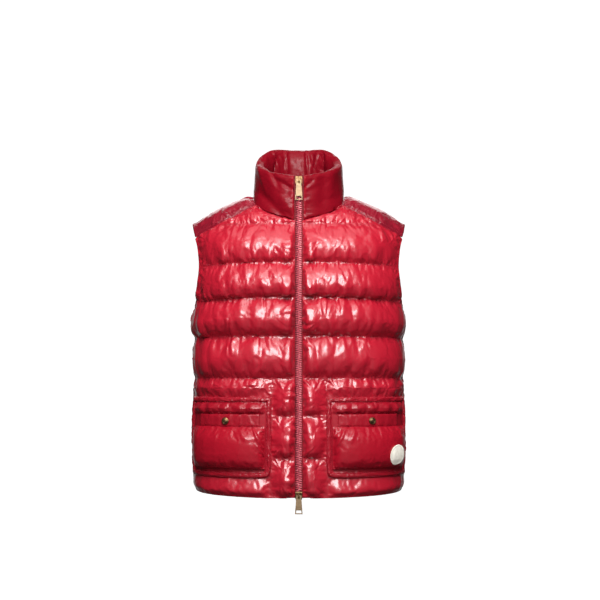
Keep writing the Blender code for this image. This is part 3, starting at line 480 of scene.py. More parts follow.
# %% [markdown]
# ## How down padding is modelled here
#
# Down stands up between two layers of cloth that are stitched together in rows. The filling
# pushes the cloth out, the thread holds it down, and because the bulge needs more cloth than
# the straight stitch line has, the cloth gathers beside the thread in short folds.
#
# It could be sculpted by hand, but then every fold is a decision. Here the shape comes in
# three steps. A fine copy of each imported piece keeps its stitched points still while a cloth
# simulation with pressure blows up the rest, with a few percent of spare cloth that has to
# crease somewhere. Then short folds, finer than the simulation's grid, are pressed in square
# to the seams. The thread goes on last, because it follows the finished cloth.

# %% Directions out of the wearer
CORE_TOP, CORE_LIFT = -0.130, 0.65       # a spine inside the body, which the padding leaves
CORE_LOW_WIDTH, CORE_HIGH_WIDTH = 0.100, 0.170
CORE_LOW, CORE_HIGH = -0.22, -0.10       # heights between which the spine widens
CORE_SHARE = 0.97                        # of a point's x, where the spine is wider than that
COLLAR_Y = -0.011                        # middle of the collar's ring


def smooth_share(low, high, value):
    """0 at low, 1 at high, smooth between."""
    t = min(max((value - low) / (high - low), 0.0), 1.0)
    return t * t * (3 - 2 * t)


def off_body(point):
    """Direction in which the padding stands out at a point of the body."""
    widen = smooth_share(CORE_LOW, CORE_HIGH, point.z)
    half = CORE_LOW_WIDTH + (CORE_HIGH_WIDTH - CORE_LOW_WIDTH) * widen
    core_x = math.copysign(min(CORE_SHARE * abs(point.x), half), point.x)
    lift = CORE_LIFT * (point.z - min(point.z, CORE_TOP))
    return Vector((point.x - core_x, point.y, lift)).normalized()


def off_neck(point):
    """Direction out of the neck, for the collar."""
    return Vector((point.x, point.y - COLLAR_Y, 0.0)).normalized()


print("straight ahead the padding leaves along", off_body(Vector((0.05, -0.1, -0.3))))

# %% [markdown]
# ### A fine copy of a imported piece
#
# Only the shell side of a pad shows folds, so only that side needs a fine grid. Remeshing
# into even cells would be easy, but cells cut across the narrow stitch lines. The packed
# piece already has its rows along them: its triangles are joined to quads again, and the
# quads that face outwards are cut finer. The inner side and the edges keep search trees, from
# which the pad's thickness at a point and its distance to an edge are read later.

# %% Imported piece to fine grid
JOINT_DISTANCE = 0.00001                         # corners closer than this are one corner
JOIN_FACE_ANGLE, JOIN_SHAPE_ANGLE = 1.2, 1.5
FACING = 0.2                                     # a face looks outwards past this cosine
UPWARD = 0.5                                     # and a face that looks up is no edge
EDGE_NEAR = 0.0003


def joined_copy(node):
    """A node's mesh as a bmesh: it arrives as loose triangles, and leaves as joined quads."""
    bm = bmesh.new()
    bm.from_mesh(nodes[node].data)
    bmesh.ops.remove_doubles(bm, verts=bm.verts, dist=JOINT_DISTANCE)
    bmesh.ops.join_triangles(bm, faces=bm.faces, angle_face_threshold=JOIN_FACE_ANGLE,
                             angle_shape_threshold=JOIN_SHAPE_ANGLE)
    bm.normal_update()
    bm.verts.index_update()
    return bm


def face_tree(bm, faces):
    """A search tree of some of a bmesh's faces."""
    corners = [v.co.copy() for v in bm.verts]
    return BVHTree.FromPolygons(corners, [[v.index for v in f.verts] for f in faces])


class FineCopy:
    """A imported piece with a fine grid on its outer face, or on both."""

    def __init__(self, node, cuts, outward, both_faces):
        self.bm = joined_copy(node)
        facing = {f: f.normal.dot(outward(f.calc_center_median())) for f in self.bm.faces}
        edging = [f for f in self.bm.faces if abs(facing[f]) <= FACING and f.normal.z < UPWARD]
        self.inner = face_tree(self.bm, [f for f in self.bm.faces if facing[f] < -FACING])
        self.edging = face_tree(self.bm, edging)
        fine = [f for f in self.bm.faces if both_faces or facing[f] > FACING]
        edges = list(dict.fromkeys(e for f in fine for e in f.edges))
        bmesh.ops.subdivide_edges(self.bm, edges=edges, cuts=cuts, use_grid_fill=True)
        self.bm.normal_update()
        self.bm.verts.index_update()

    def thickness(self, vert):
        return self.inner.find_nearest(vert.co)[3]

    def on_edge(self, vert):
        return self.edging.find_nearest(vert.co)[3] < EDGE_NEAR


print("fine copies have an edge tolerance of", EDGE_NEAR * 1000, "mm")

# %% [markdown]
# ### What the thread holds
#
# A quilted wall is thin exactly where it is stitched through, so its thickness says which
# points the thread holds. They could be painted by hand as weights, but then each change of
# shape would mean painting again. Real thread doesn't hold the cloth evenly, so some of the
# points beside a row are let go, and the cloth scallops between them.

# %% Stitched points
SEAM_THICK, SEAM_MARGIN = 0.0050, 0.0006         # the wall where it is stitched through
THIN_SHARE = 0.6                                 # a flat border is thinner than this share
LEVEL_SHARE = 0.75                               # a row rises less than this share of its length
RIM_MARGIN = 0.0004
SCALLOP_SCALE = (190, 190, 40)


def rim_rows(copy, raised):
    """Edges that follow both rims of a raised flat border of the given thickness."""
    thick = {v: copy.thickness(v) for v in copy.bm.verts}
    rim = {v for v in copy.bm.verts if abs(thick[v] - raised) < RIM_MARGIN
           and any(thick[e.other_vert(v)] < raised - RIM_MARGIN for e in v.link_edges)}
    return [(e.verts[0].co.copy(), e.verts[1].co.copy()) for e in copy.bm.edges
            if e.verts[0] in rim and e.verts[1] in rim]


def level_rows(copy, beside):
    """Edges between points beside the stitch lines, without those that climb steeply."""
    rows = [(e.verts[0].co.copy(), e.verts[1].co.copy()) for e in copy.bm.edges
            if e.verts[0] in beside and e.verts[1] in beside]
    return [(a, b) for a, b in rows if abs(a.z - b.z) < LEVEL_SHARE * (a - b).length]


def hold_stitches(copy, thin, seed, both_faces, sewn, raised):
    """Points that the thread holds, points on a seam, and the stitched edges for the thread.

    A wall is stitched where it is no thicker than its seam, at its edges and where sewn says.
    """
    held, seam, lines = set(), set(), set()
    for v in copy.bm.verts:
        thick = copy.thickness(v)
        if copy.on_edge(v):
            held.add(v)
            if both_faces or thick > THIN_SHARE * thin:
                seam.add(v)
        elif not both_faces and (thick < thin + SEAM_MARGIN or sewn(v.co)):
            held.add(v)
            if thick > THIN_SHARE * thin:
                lines.add(v)
    beside = {v for v in lines if any(e.other_vert(v) not in held for e in v.link_edges)}
    rows = rim_rows(copy, raised) if raised else level_rows(copy, beside)
    for v in beside:
        x, y, z = (c * scale for c, scale in zip(v.co, SCALLOP_SCALE))
        if noise.noise(Vector((x, y, z + seed * 7))) > 0:
            held.discard(v)
    return held, seam | lines, rows


print("stitched walls are up to", (SEAM_THICK + SEAM_MARGIN) * 1000, "mm thick")

# %% Distance to the seams
FOOT_POINTS, FOOT_SOFTNESS = 6, 0.0008           # neighbours on the seam that share the foot
FAR_GAP = 0.05


def measure_seams(bm, seam):
    """For each point its distance to the nearest seam and the place on it."""
    tree = KDTree(len(seam))
    for i, v in enumerate(sorted(seam, key=lambda point: point.index)):
        tree.insert(v.co, i)
    tree.balance()
    gaps, feet = [], []
    for v in bm.verts:
        found = tree.find_n(v.co, FOOT_POINTS)
        weights = [1 / (distance + FOOT_SOFTNESS) ** 2 for _, _, distance in found]
        foot = sum((place * w for (place, _, _), w in zip(found, weights)), Vector())
        feet.append(foot / sum(weights))
        gaps.append(min(found[0][2], FAR_GAP))
    return gaps, feet


print("gaps are measured up to", FAR_GAP * 1000, "mm")

# %% [markdown]
# ### Filling
#
# Before it is blown up, the copy gets the shape that the down gives it: full beside the zip,
# where the rows start at once, and slipped down a little in each row, because down sinks. The
# simulation could find this too, from gravity on real grains, but far too slowly. The fronts'
# edges also reach closer to the teeth here, as the cloth is sewn right beside them.

# %% Shape before the simulation
ZIP_REACH = 0.0020                       # how far a front's edge is drawn towards the zip
REACH_NEAR, REACH_FAR = 0.008, 0.030     # from the zip: drawn fully, and not at all
FULL_NEAR, FULL_FAR, FULLER = 0.010, 0.034, 0.8
CHEST_LOW, CHEST_HIGH = -0.26, -0.14     # heights between which the sag changes
ROUGHNESS, ROUGHNESS_SCALE = 0.0004, 150


def fill(copy, free, thin, start, sag, zip_side):
    """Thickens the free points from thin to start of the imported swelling, and lets them sag."""
    for v in free:
        foot, _, _, thick = copy.inner.find_nearest(v.co)
        spare = (thick - thin) * start
        if zip_side:
            spare *= 1 + FULLER * (1 - smooth_share(FULL_NEAR, FULL_FAR, abs(v.co.x)))
        v.co = foot + (v.co - foot) * ((thin + spare) / thick)
        slip = sag[0] + (sag[1] - sag[0]) * smooth_share(CHEST_LOW, CHEST_HIGH, v.co.z)
        v.co.z -= slip * max(spare, 0.0)


def press_down(copy, held, sewn, thin):
    """Brings the points of a row that is sewn through the padding down to the seam."""
    for v in held:
        if sewn(v.co) and not copy.on_edge(v):
            foot, _, _, thick = copy.inner.find_nearest(v.co)
            v.co = foot + (v.co - foot) * (thin / max(thick, thin))


def reach_for_zip(bm):
    for v in bm.verts:
        near = 1 - smooth_share(REACH_NEAR, REACH_FAR, abs(v.co.x))
        v.co.x -= math.copysign(ZIP_REACH, v.co.x) * near


def roughen(free, seed):
    """Small bumps, from which the simulation's creases start."""
    for v in free:
        v.co += v.normal * ROUGHNESS * noise.noise(v.co * ROUGHNESS_SCALE + Vector((seed, 0, 0)))


print("cloth reaches", ZIP_REACH * 1000, "mm closer to the zip")

# %% Pad with its stitches and gaps
ZIP_CLEAR = 0.0200                       # nearer to the zip than this, an edge isn't thickened
GATHER_REACH = 0.012                     # the cloth is gathered within about this of a seam


def no_seam(place):
    return False


def store(mesh, name, kind, values):
    """Keeps a value for each point as an attribute."""
    field = "vector" if kind == "FLOAT_VECTOR" else "value"
    data = mesh.attributes.new(name, kind, "POINT").data
    data.foreach_set(field, np.array(values, np.float32).ravel())


def pad_object(name, copy, held, gaps, feet):
    """The copy as an object, with groups and attributes for the cloth and the folds."""
    held_indices = [v.index for v in held]
    edge_shares = [float(copy.on_edge(v) and abs(v.co.x) > ZIP_CLEAR) for v in copy.bm.verts]
    mesh = bpy.data.meshes.new(name)
    copy.bm.to_mesh(mesh)
    copy.bm.free()
    mesh.shade_smooth()
    pad = bpy.data.objects.new(name, mesh)
    bpy.context.collection.objects.link(pad)
    pad.vertex_groups.new(name="stitched").add(held_indices, 1.0, "REPLACE")
    gathered = pad.vertex_groups.new(name="gathered")
    for i, gap in enumerate(gaps):
        gathered.add([i], math.exp(-gap / GATHER_REACH), "REPLACE")
    store(mesh, "seam_gap", "FLOAT", gaps)
    store(mesh, "edge_share", "FLOAT", edge_shares)
    store(mesh, "seam_foot", "FLOAT_VECTOR", feet)
    print(name, "points", len(mesh.vertices), "stitched", len(held_indices))
    return pad


def prepare_pad(name, node, cuts, outward=off_body, thin=SEAM_THICK, start=0.92, seed=0,
                both_faces=False, rounding=6, sag=(0.0, 0.0), zip_side=False, sewn=no_seam,
                raised=None):
    """A fine copy of a padded node, filled but not yet blown up, and its rows of stitches.

    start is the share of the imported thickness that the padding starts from, since it swells.
    sag is how far the filling slips down, as a share of its thickness, below and above
    the chest. zip_side is set for the fronts, and raised is the thickness of a flat border
    that carries the stitches.
    """
    copy = FineCopy(node, cuts, outward, both_faces)
    held, seam, rows = hold_stitches(copy, thin, seed, both_faces, sewn, raised)
    free = [v for v in copy.bm.verts if v not in held]
    for _ in range(rounding):
        bmesh.ops.smooth_vert(copy.bm, verts=free, factor=0.5, use_axis_x=True,
                              use_axis_y=True, use_axis_z=True)
    if not both_faces:
        fill(copy, free, thin, start, sag, zip_side)
    press_down(copy, held, sewn, thin)
    if zip_side:
        reach_for_zip(copy.bm)
    copy.bm.normal_update()
    gaps, feet = measure_seams(copy.bm, seam)
    roughen(free, seed)
    return pad_object(name, copy, held, gaps, feet), rows


# %% [markdown]
# ### Blowing up
#
# The cloth modifier gets pressure from inside, no gravity, and a negative shrink: its rest
# lengths are longer than the copy's edges, most of all at the seams, which is the gathered
# cloth. All pads run in one pass over the timeline, so the computer's cores share the work.
# The result is read back and each point's way is capped softly, so no pad can swell into its
# neighbours.

# %% Cloth simulation
PRESSURE, STIFFNESS, BENDING = 4.0, 12.0, 0.25
SPARE_CLOTH, GATHERED_CLOTH = 0.015, 0.06        # extra length, in the rows and at their seams
FRAMES = 24


def add_cloth(pad):
    cloth = pad.modifiers.new("cloth", "CLOTH")
    settings = cloth.settings
    settings.quality = 5
    settings.mass = 0.15
    settings.tension_stiffness = settings.compression_stiffness = STIFFNESS
    settings.shear_stiffness = STIFFNESS * 0.4
    settings.bending_stiffness = BENDING
    settings.tension_damping = settings.compression_damping = 8.0
    settings.air_damping = 3.0
    settings.use_pressure = True
    settings.uniform_pressure_force = PRESSURE
    settings.vertex_group_mass = "stitched"
    settings.pin_stiffness = 1.0
    settings.vertex_group_shrink = "gathered"
    settings.shrink_min = -SPARE_CLOTH
    settings.shrink_max = -GATHERED_CLOTH
    settings.effector_weights.gravity = 0.0


def read(mesh, field, size):
    """A field of the mesh's points as an array with a row for each."""
    values = np.zeros(len(mesh.vertices) * size, np.float32)
    mesh.vertices.foreach_get(field, values)
    return values.reshape(-1, size)


def blow_up(caps):
    """Runs the simulation of all pads at once and keeps each point within its pad's cap."""
    scene = bpy.context.scene
    scene.frame_start, scene.frame_end = 1, FRAMES
    for number in range(1, FRAMES + 1):
        scene.frame_set(number)
    view = bpy.context.evaluated_depsgraph_get()
    for pad, cap in caps.items():
        start = read(pad.data, "co", 3)
        move = read(pad.evaluated_get(view).data, "co", 3) - start
        length = np.linalg.norm(move, axis=1)
        limit = cap * np.tanh(length / cap) / np.maximum(length, 1e-9)
        pad.modifiers.remove(pad.modifiers["cloth"])
        pad.data.vertices.foreach_set("co", (start + move * limit[:, None]).ravel())
        pad.data.update()
        print(pad.name, "moved up to", round(float(length.max()) * 1000, 1), "mm, mean",
              round(float(length.mean()) * 1000, 2))
    scene.frame_set(1)


# %% [markdown]
# ### Folds
#
# Every point of a pad knows the place of its nearest seam. A noise that is read at that place
# has the same value all along a line that leaves the seam, so its ridges run square to the
# stitches, whichever way the seam turns. Taking the noise's absolute value makes round folds
# with sharp valleys, as cloth has when something pushes it out. Each fold rises just beside
# the thread and dies away over its own length; short pleats lie between the long folds, and a
# few folds run through from one row of stitches to the next.

# %% Heights of the folds
FOLD_GAIN, FOLD_BASE = 2.4, 0.6
SEED_STEP = 3.1
PLEAT_WIDTH, PLEAT_SHARE, PLEAT_REACH = 0.42, 0.6, 0.32    # pleats, as shares of the folds
THROUGH_WIDTH, THROUGH_STRETCH = 1.6, 0.22                 # folds that run through a row
DRIFT_SCALE, LENGTH_NOISE = 22, 38
SHORTEST, LONGER, FOLDS_END = 0.4, 2.4, 3.2                # lengths, as shares of the reach
RISE = 0.0024                                              # a fold rises over this gap
HEM_LOW, HEM_HIGH, HEM_NEAR, HEM_FAR = -0.495, -0.465, 0.03, 0.07
HEM_CALM = 0.85


def fold_height(place, width, seed):
    """Round ridges with sharp valleys, about width apart."""
    ridge = abs(noise.noise(place / width + Vector((seed * SEED_STEP, 0, 0))))
    return FOLD_GAIN * ridge - FOLD_BASE


def hem_calm(place):
    """Share of the folds' height: the hem's row is fuller, and creases less off the zip."""
    low = 1 - smooth_share(HEM_LOW, HEM_HIGH, place.z)
    return 1 - HEM_CALM * low * smooth_share(HEM_NEAR, HEM_FAR, abs(place.x))


class Folds:
    """How the cloth of one piece folds.

    depth is the height of a fold, width the way from one to the next, and reach the usual
    length. slant is how far folds stray from square, and through the share of those that
    run through a row.
    """

    def __init__(self, depth, width=0.010, reach=0.016, slant=0.45, through=0.0):
        self.depth, self.width, self.reach = depth, width, reach
        self.slant, self.through = slant, through

    def height(self, place, gap, foot, seed):
        """Height over the smooth pad of a point that lies gap from its foot on the seam."""
        if gap > FOLDS_END * self.reach and not self.through:
            return 0.0
        drift = noise.noise_vector(place * DRIFT_SCALE + Vector((0, 0, seed))) * gap * self.slant
        longer = abs(noise.noise(foot * LENGTH_NOISE + Vector((seed, 3, 0))))
        length = self.reach * (SHORTEST + LONGER * longer)
        fade = math.exp(-((gap / length) ** 1.5))
        pleat_fade = PLEAT_SHARE * math.exp(-gap / (PLEAT_REACH * self.reach))
        stretched = Vector((place.x, place.y, THROUGH_STRETCH * place.z))
        height = (fold_height(foot + drift, self.width, seed) * fade
                  + fold_height(foot, PLEAT_WIDTH * self.width, seed + 9) * pleat_fade
                  + fold_height(stretched, THROUGH_WIDTH * self.width, seed + 17) * self.through)
        return self.depth * height * (1 - math.exp(-gap / RISE)) * hem_calm(place)


print("folds over a seam at 5 mm:", Folds(0.002).height(Vector(), 0.005, Vector(), 1))

# %% Pressing in the folds
EDGE_SWELL = 0.0010                      # the turned seam edges press on each other


def subdivided(pad):
    """Applies one subdivision, so the folds have points to move."""
    smooth = pad.modifiers.new("smooth", "SUBSURF")
    smooth.levels = smooth.render_levels = 1
    view = bpy.context.evaluated_depsgraph_get()
    mesh = bpy.data.meshes.new_from_object(pad.evaluated_get(view))
    pad.modifiers.clear()
    old, pad.data = pad.data, mesh
    bpy.data.meshes.remove(old)
    mesh.name = pad.name
    return mesh


def stored(mesh, name, field, size):
    """An attribute of the mesh's points as an array with a row for each."""
    values = np.zeros(len(mesh.vertices) * size, np.float32)
    mesh.attributes[name].data.foreach_get(field, values)
    return values.reshape(-1, size)


def press_folds(pad, folds, seed):
    """Raises the folds on a subdivided pad, and swells its edges until they meet."""
    mesh = subdivided(pad)
    gaps, feet = stored(mesh, "seam_gap", "value", 1), stored(mesh, "seam_foot", "vector", 3)
    normals = read(mesh, "normal", 3).astype(float)
    heights = stored(mesh, "edge_share", "value", 1) * EDGE_SWELL
    heights = heights.astype(float)
    for i, v in enumerate(mesh.vertices):
        heights[i] += folds.height(v.co, float(gaps[i, 0]), Vector(feet[i]), seed)
    places = read(mesh, "co", 3) + normals * heights
    mesh.vertices.foreach_set("co", places.astype(np.float32).ravel())
    mesh.update()
    mesh.shade_smooth()


# %% Single creases
CREASE_START, CREASE_FULL, CREASE_FADING, CREASE_END = -0.3, 0.25, 0.75, 1.3


def press_creases(pad, creases):
    """Single soft folds, each from (x0, z0) to (x1, z1) on the side where y has a sign."""
    normals = [v.normal.copy() for v in pad.data.vertices]
    for x0, z0, x1, z1, sign, width, height in creases:
        start, way = Vector((x0, z0)), Vector((x1 - x0, z1 - z0))
        length = way.length
        way.normalize()
        for v, normal in zip(pad.data.vertices, normals):
            offset = Vector((v.co.x, v.co.z)) - start
            share = offset.dot(way) / length
            across = (offset.x * way.y - offset.y * way.x) / width
            if v.co.y * sign > 0.02 and CREASE_START < share < CREASE_END and abs(across) < 3:
                taper = (smooth_share(CREASE_START, CREASE_FULL, share)
                         * (1 - smooth_share(CREASE_FADING, CREASE_END, share)))
                v.co += normal * height * taper * math.exp(-across * across)
    pad.data.update()
    print(pad.name, "single creases:", len(creases))


# %% [markdown]
# ## The padded pieces
#
# Fronts, back, yokes, collar and pocket parts are all cloth over filling, so they go through
# the same steps, with their own grid, fullness and folds. A function for each would repeat
# the same lines, so each piece is a recipe instead. The second row of stitches along the
# front of each yoke holds the cloth down too, and is given as a line of its own. A few large
# creases of the collar and the pocket bags are too long to come from noise, and are listed
# one by one.

# %% Yoke seam and single creases
YOKE_FRONT = ((0.1830, -0.0790), (0.0762, -0.0235))    # x and z of the yoke's front seam
FIRST_ROW, SECOND_ROW = 0.0022, 0.0080                 # from that seam to its rows of stitches
ROW_HALF_WIDTH, FRONT_Y = 0.0016, -0.03
BORDER_THICK = 0.0036                                  # of the sewn border round a pocket
COLLAR_CREASES = [
    (-0.0735, 0.0512, -0.0587, 0.0086, -1, 0.0040, 0.0018),
    (-0.0709, 0.0034, -0.0240, -0.0452, -1, 0.0065, -0.0030),
    (-0.0396, 0.0225, -0.0092, 0.0034, -1, 0.0040, -0.0024),
    (-0.0570, 0.0277, -0.0153, -0.0296, -1, 0.0090, 0.0026),
    (-0.0500, 0.0399, -0.0361, 0.0086, -1, 0.0040, -0.0024),
    (0.0108, 0.0086, 0.0264, 0.0225, -1, 0.0040, -0.0020),
    (0.0438, 0.0330, 0.0420, -0.0240, -1, 0.0090, -0.0022),
    (0.0600, 0.0400, 0.0560, -0.0100, -1, 0.0080, 0.0016),
    (0.0130, 0.0900, 0.0160, 0.0500, 1, 0.0030, 0.0022),
    (-0.0230, 0.0900, -0.0210, 0.0500, 1, 0.0032, 0.0022),
    (0.0340, 0.0880, 0.0260, 0.0500, 1, 0.0030, 0.0022),
    (-0.0450, 0.0850, -0.0360, 0.0500, 1, 0.0034, 0.0022),
]
POUCH_CREASES = [
    (-0.0771, -0.4143, -0.0642, -0.4427, -1, 0.0026, 0.0022),
    (-0.1010, -0.4120, -0.0920, -0.4300, -1, 0.0040, 0.0012),
    (-0.0720, -0.4400, -0.0600, -0.4560, -1, 0.0024, 0.0014),
    (0.0790, -0.4143, 0.0660, -0.4400, -1, 0.0028, 0.0018),
    (0.0960, -0.4130, 0.0900, -0.4330, -1, 0.0040, 0.0012),
]


def second_yoke_row(place):
    """True on the second stitch row of a yoke, beside its front seam."""
    (x0, z0), (x1, z1) = YOKE_FRONT
    along = Vector((x1 - x0, z1 - z0)).normalized()
    offset = Vector((abs(place.x) - x0, place.z - z0))
    off = abs(offset.x * along.y - offset.y * along.x)
    return place.y < FRONT_Y and abs(off - SECOND_ROW) < ROW_HALF_WIDTH


print("single creases:", len(COLLAR_CREASES) + len(POUCH_CREASES))

# %% Recipes of the pads
class Recipe:
    """How one padded piece is made from its node.

    fill is how full of down it is, but it is not used. cap is how far the simulation may move a
    point. What is left over goes to prepare_pad.
    """

    def __init__(self, name, node, cloth, slot, fill, cap, folds, creases=(), **grid):
        self.name, self.node, self.cloth, self.slot = name, node, cloth, slot
        self.fill, self.cap, self.folds, self.creases = fill, cap, folds, creases
        self.grid = grid


def side_recipes(tag, seed):
    """The pieces that the vest has one of on each side."""
    return [
        Recipe("front_cloth_" + tag, "front_" + tag, shell, "shell", 0.85, 0.008,
               Folds(depth=0.0026, width=0.0145, reach=0.021, through=0.42),
               cuts=5, seed=seed, sag=(0.35, 0.72), zip_side=True),
        Recipe("yoke_cloth_" + tag, "yoke_" + tag, yoke_shell, "yoke_shell", 0.5, 0.003,
               Folds(depth=0.0028, width=0.0100, reach=0.017),
               cuts=8, seed=seed, sewn=second_yoke_row, start=1.0),
        Recipe("pocket_frame_" + tag, "pocket_base_" + tag, flat_shade_shell, "shell", 0.5, 0.0014,
               Folds(depth=0.0012, width=0.006, reach=0.008),
               cuts=3, seed=seed, thin=0.0018, rounding=1, start=1.0, raised=BORDER_THICK),
        Recipe("pocket_bag_" + tag, "pocket_pouch_" + tag, bag_shade_shell, "shell", 0.8, 0.004,
               Folds(depth=0.0010, width=0.011, reach=0.012), POUCH_CREASES,
               cuts=4, seed=seed, thin=0.0035, sag=(0.3, 0.3)),
        Recipe("pocket_band_cloth_" + tag, "pocket_band_" + tag, flat_shade_shell, "shell", 0.2,
               0.0004, Folds(depth=0.0003, width=0.010, reach=0.008),
               cuts=3, seed=seed, thin=0.0030, rounding=1, start=1.0),
    ]


recipes = side_recipes("left", 1) + side_recipes("right", 2) + [
    Recipe("back_cloth", "back", shell, "shell", 0.85, 0.008,
           Folds(depth=0.0023, width=0.0145, reach=0.020, through=0.42),
           cuts=4, seed=3, sag=(0.35, 0.6)),
    Recipe("collar_cloth", "collar", collar_shade_shell, "shell", 0.8, 0.005,
           Folds(depth=0.0012, reach=0.010), COLLAR_CREASES,
           cuts=4, outward=off_neck, both_faces=True, seed=4),
]
print("padded pieces:", len(recipes))

# %% Preparing and blowing up
pads, rows = {}, {}
for recipe in recipes:
    pads[recipe.name], rows[recipe.name] = prepare_pad(recipe.name, recipe.node, **recipe.grid)
for pad in pads.values():
    add_cloth(pad)
blow_up({pads[recipe.name]: recipe.cap for recipe in recipes})
print("stitched edges:", sum(len(edges) for edges in rows.values()))

# %% Folding and dressing
def dress(pad, recipe):
    """The cloth's finish and the pad's place in the frame."""
    pad.data.materials.clear()
    pad.data.materials.append(recipe.cloth)
    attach(pad, "vest")
    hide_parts(recipe.node)
    triangles = sum(len(p.vertices) - 2 for p in pad.data.polygons)
    print(pad.name, "triangles", triangles)


for number, recipe in enumerate(recipes):
    pad = pads[recipe.name]
    press_folds(pad, recipe.folds, number)
    if recipe.creases:
        press_creases(pad, recipe.creases)
    dress(pad, recipe)

# %% [markdown]
# ## Thread
#
# A stitch is a short capsule that sinks a little into the cloth at both ends. A texture of
# dashes would be lighter, but it would lie flat, and stitches catch the light. Each stitched
# edge of the fine grid takes one. They are laid on the finished cloth: a search tree of the
# pad gives the nearest point and its normal. One low sphere, stretched, is copied for all.

# %% Small pieces on the vest
def add_piece(name, bm, material, node=None):
    """An object made of a bmesh that rides on the vest, in place of a node if one is named."""
    mesh = bpy.data.meshes.new(name)
    bm.to_mesh(mesh)
    bm.free()
    mesh.shade_smooth()
    mesh.materials.append(material)
    piece = bpy.data.objects.new(name, mesh)
    bpy.context.collection.objects.link(piece)
    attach(piece, "vest")
    if node:
        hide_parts(node)
    print(name, len(mesh.polygons), "faces")
    return piece


def add_capsule(bm, middle, along, normal, radius, length):
    """A stretched low sphere that lies along a direction on a surface."""
    turn = Matrix((normal.cross(along), along, normal)).transposed().to_4x4()
    size = Matrix.Diagonal((radius, length / 2, radius, 1.0))
    bmesh.ops.create_icosphere(bm, subdivisions=1, radius=1.0,
                               matrix=Matrix.Translation(middle) @ turn @ size)


# %% Stitches
STITCH_RADIUS, STITCH_SHARE = 0.00042, 0.72
STITCH_LIFT, SHORTEST_STITCH = 0.4, 0.0008       # lift as a share of the radius
YOKE_PITCH = 0.0032
ROW_START, ROW_END = 0.01, 0.985                 # shares of the yoke's seam


def surface_tree(pad):
    bm = bmesh.new()
    bm.from_mesh(pad.data)
    tree = BVHTree.FromBMesh(bm)
    bm.free()
    return tree


def sew(name, pad, edges):
    """One stitch on each edge, laid on the pad's cloth."""
    tree = surface_tree(pad)
    bm = bmesh.new()
    for first, second in edges:
        middle, normal, _, _ = tree.find_nearest((first + second) / 2)
        along = (second - first) - (second - first).project(normal)
        if along.length > SHORTEST_STITCH:
            add_capsule(bm, middle + normal * STITCH_RADIUS * STITCH_LIFT, along.normalized(),
                        normal, STITCH_RADIUS, along.length * STITCH_SHARE)
    return add_piece(name, bm, thread)


def yoke_row(side, pad, offset):
    """Pairs of points along the yoke's front seam, found by looking at it from the front."""
    tree = surface_tree(pad)
    start, end = (Vector((side * x, -0.5, z)) for x, z in YOKE_FRONT)
    along = (end - start).normalized()
    up = Vector((-side * along.z, 0.0, side * along.x))
    up = up if up.z > 0 else -up
    places = []
    for share in np.linspace(ROW_START, ROW_END, int((end - start).length / YOKE_PITCH)):
        hit = tree.ray_cast(start.lerp(end, share) + up * offset, Vector((0, 1, 0)))[0]
        if hit:
            places.append(hit)
    return list(zip(places, places[1:]))


for side, tag in ((-1, "left"), (1, "right")):
    yoke = "yoke_cloth_" + tag
    rows[yoke] = [pair for offset in (FIRST_ROW, SECOND_ROW)
                  for pair in yoke_row(side, pads[yoke], offset)]
for recipe in recipes:
    plain = "band" in recipe.name or "bag" in recipe.name
    if rows[recipe.name] and not plain:
        sew("thread_" + recipe.name, pads[recipe.name], rows[recipe.name])

# %% [markdown]
# ## The zip
#
# A zip is two woven tapes with a row of teeth on each. The rows sit half a pitch apart, so
# their heads mesh in the middle. A curve with an array could carry them, but the packed
# strips already give the path of the zip, so the tape is a grid laid along it, and one
# bevelled tooth is copied up each side, turned to follow the path's slope.

# %% Zip tape
TAPE_INNER, TAPE_OUTER, TAPE_THICK = 0.0004, 0.0087, 0.0009
TAPE_COLUMNS, TAPE_ROWS = 6, 160


def zip_line(node):
    """Heights of a packed strip along the zip, and the y of its middle at each."""
    levels = {}
    for v in nodes[node].data.vertices:
        levels.setdefault(round(v.co.z, 4), set()).add(v.co.y)
    heights = sorted(levels)
    return heights, [(min(levels[z]) + max(levels[z])) / 2 for z in heights]


def build_tape(side, tag):
    heights, line = zip_line("zip_tape_" + tag)
    bm = bmesh.new()
    bmesh.ops.create_grid(bm, x_segments=TAPE_COLUMNS, y_segments=TAPE_ROWS, size=0.5)
    for v in bm.verts:
        z = heights[0] + (v.co.y + 0.5) * (heights[-1] - heights[0])
        x = TAPE_INNER + (v.co.x + 0.5) * (TAPE_OUTER - TAPE_INNER)
        v.co = (side * x, float(np.interp(z, heights, line)) - TAPE_THICK / 2, z)
    bmesh.ops.recalc_face_normals(bm, faces=bm.faces)
    bmesh.ops.solidify(bm, geom=bm.faces[:], thickness=TAPE_THICK)
    add_piece("zip_tape_cloth_" + tag, bm, tape_cloth, "zip_tape_" + tag)


build_tape(-1, "left")
build_tape(1, "right")

# %% Zip teeth
TOOTH_PITCH, TOOTH_INNER, TOOTH_OUTER = 0.0039, -0.0008, 0.0050
TOOTH_DEPTH, TOOTH_HEIGHT, TOOTH_SLANT, TOOTH_BEVEL = 0.0030, 0.0017, 0.0010, 0.0004


def tooth_shape(side):
    """One tooth, slanted up towards the middle of the zip."""
    bm = bmesh.new()
    bmesh.ops.create_cube(bm, size=1.0)
    for v in bm.verts:
        inward = 0.5 - v.co.x
        v.co = (side * (TOOTH_OUTER + (TOOTH_INNER - TOOTH_OUTER) * inward),
                v.co.y * TOOTH_DEPTH, v.co.z * TOOTH_HEIGHT + inward * TOOTH_SLANT)
    bmesh.ops.bevel(bm, geom=bm.edges[:], offset=TOOTH_BEVEL, segments=2, profile=0.5,
                    affect="EDGES", material=-1)
    bmesh.ops.recalc_face_normals(bm, faces=bm.faces)
    mesh = bpy.data.meshes.new("tooth")
    bm.to_mesh(mesh)
    bm.free()
    return mesh


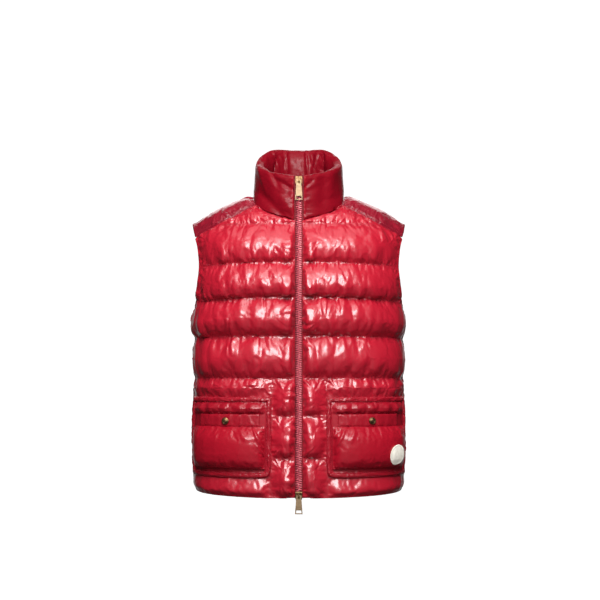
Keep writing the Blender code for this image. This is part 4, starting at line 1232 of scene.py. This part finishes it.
def build_teeth(side, tag):
    heights, line = zip_line("zip_chain_" + tag)
    shape = tooth_shape(side)
    bm = bmesh.new()
    first = heights[0] + TOOTH_HEIGHT / 2 + (TOOTH_PITCH / 2 if side > 0 else 0.0)
    for z in np.arange(first, heights[-1] - TOOTH_HEIGHT / 2, TOOTH_PITCH):
        y, y_above = np.interp([z, z + TOOTH_PITCH], heights, line)
        lean = Matrix.Rotation(-math.atan2(y_above - y, TOOTH_PITCH), 4, "X")
        start = len(bm.verts)
        bm.from_mesh(shape)
        bm.verts.ensure_lookup_table()
        bmesh.ops.transform(bm, matrix=Matrix.Translation((0, y, z)) @ lean,
                            verts=bm.verts[start:])
    add_piece("zip_teeth_row_" + tag, bm, tooth_plastic, "zip_chain_" + tag)


build_teeth(-1, "left")
build_teeth(1, "right")

# %% [markdown]
# ## The patch
#
# A plain felt patch is laid on one pocket. Its rim is oversewn: one stitch beside the other,
# each across the edge. A torus would give a smooth bead, but here the single stitches show,
# so each is a capsule of its own.

# %% Felt patch
RIM_PITCH, RIM_RADIUS, RIM_LENGTH = 0.00085, 0.00055, 0.0026
FRONT_COSINE = 0.6                       # a face of the patch looks forwards past this


def rim_edges(bm):
    """Edges round the patch's front face, as pairs of points with the face's normal."""
    front = {f for f in bm.faces
             if f.normal.dot(off_body(f.calc_center_median())) > FRONT_COSINE}
    rim = [e for e in bm.edges if sum(f in front for f in e.link_faces) == 1]
    return [(e.verts[0].co.copy(), e.verts[1].co.copy(),
             next(f.normal.copy() for f in e.link_faces if f in front)) for e in rim]


def oversew(rim):
    """Stitches side by side across the edges of a rim."""
    bm = bmesh.new()
    for first, second, normal in rim:
        across = normal.cross((second - first).normalized()).normalized()
        count = max(1, round((second - first).length / RIM_PITCH))
        for number in range(count):
            place = first.lerp(second, (number + 0.5) / count)
            add_capsule(bm, place, across, normal, RIM_RADIUS, RIM_LENGTH)
    return bm


def build_patch():
    bm = joined_copy("patch")
    edging = oversew(rim_edges(bm))
    bmesh.ops.subdivide_edges(bm, edges=bm.edges[:], cuts=3, use_grid_fill=True)
    patch = add_piece("felt_patch", bm, felt, "patch")
    edging = add_piece("felt_patch_edging", edging, felt)


build_patch()

# %% [markdown]
# ## Hardware
#
# The sliders, pulls and snaps were modelled with their real edges already, and could be
# copied and refined, but at their size that wouldn't show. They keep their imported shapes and
# only change their metal: pale brass on the pulls that hands rub, browned on the rest.

# %% Brass on sliders, pulls and snaps
for node, piece in nodes.items():
    if "slider" in node or "snap" in node or "pull" in node:
        piece.material_slots[0].material = pull_brass if "pull" in node else brass
        print(node, "is", piece.material_slots[0].material.name)
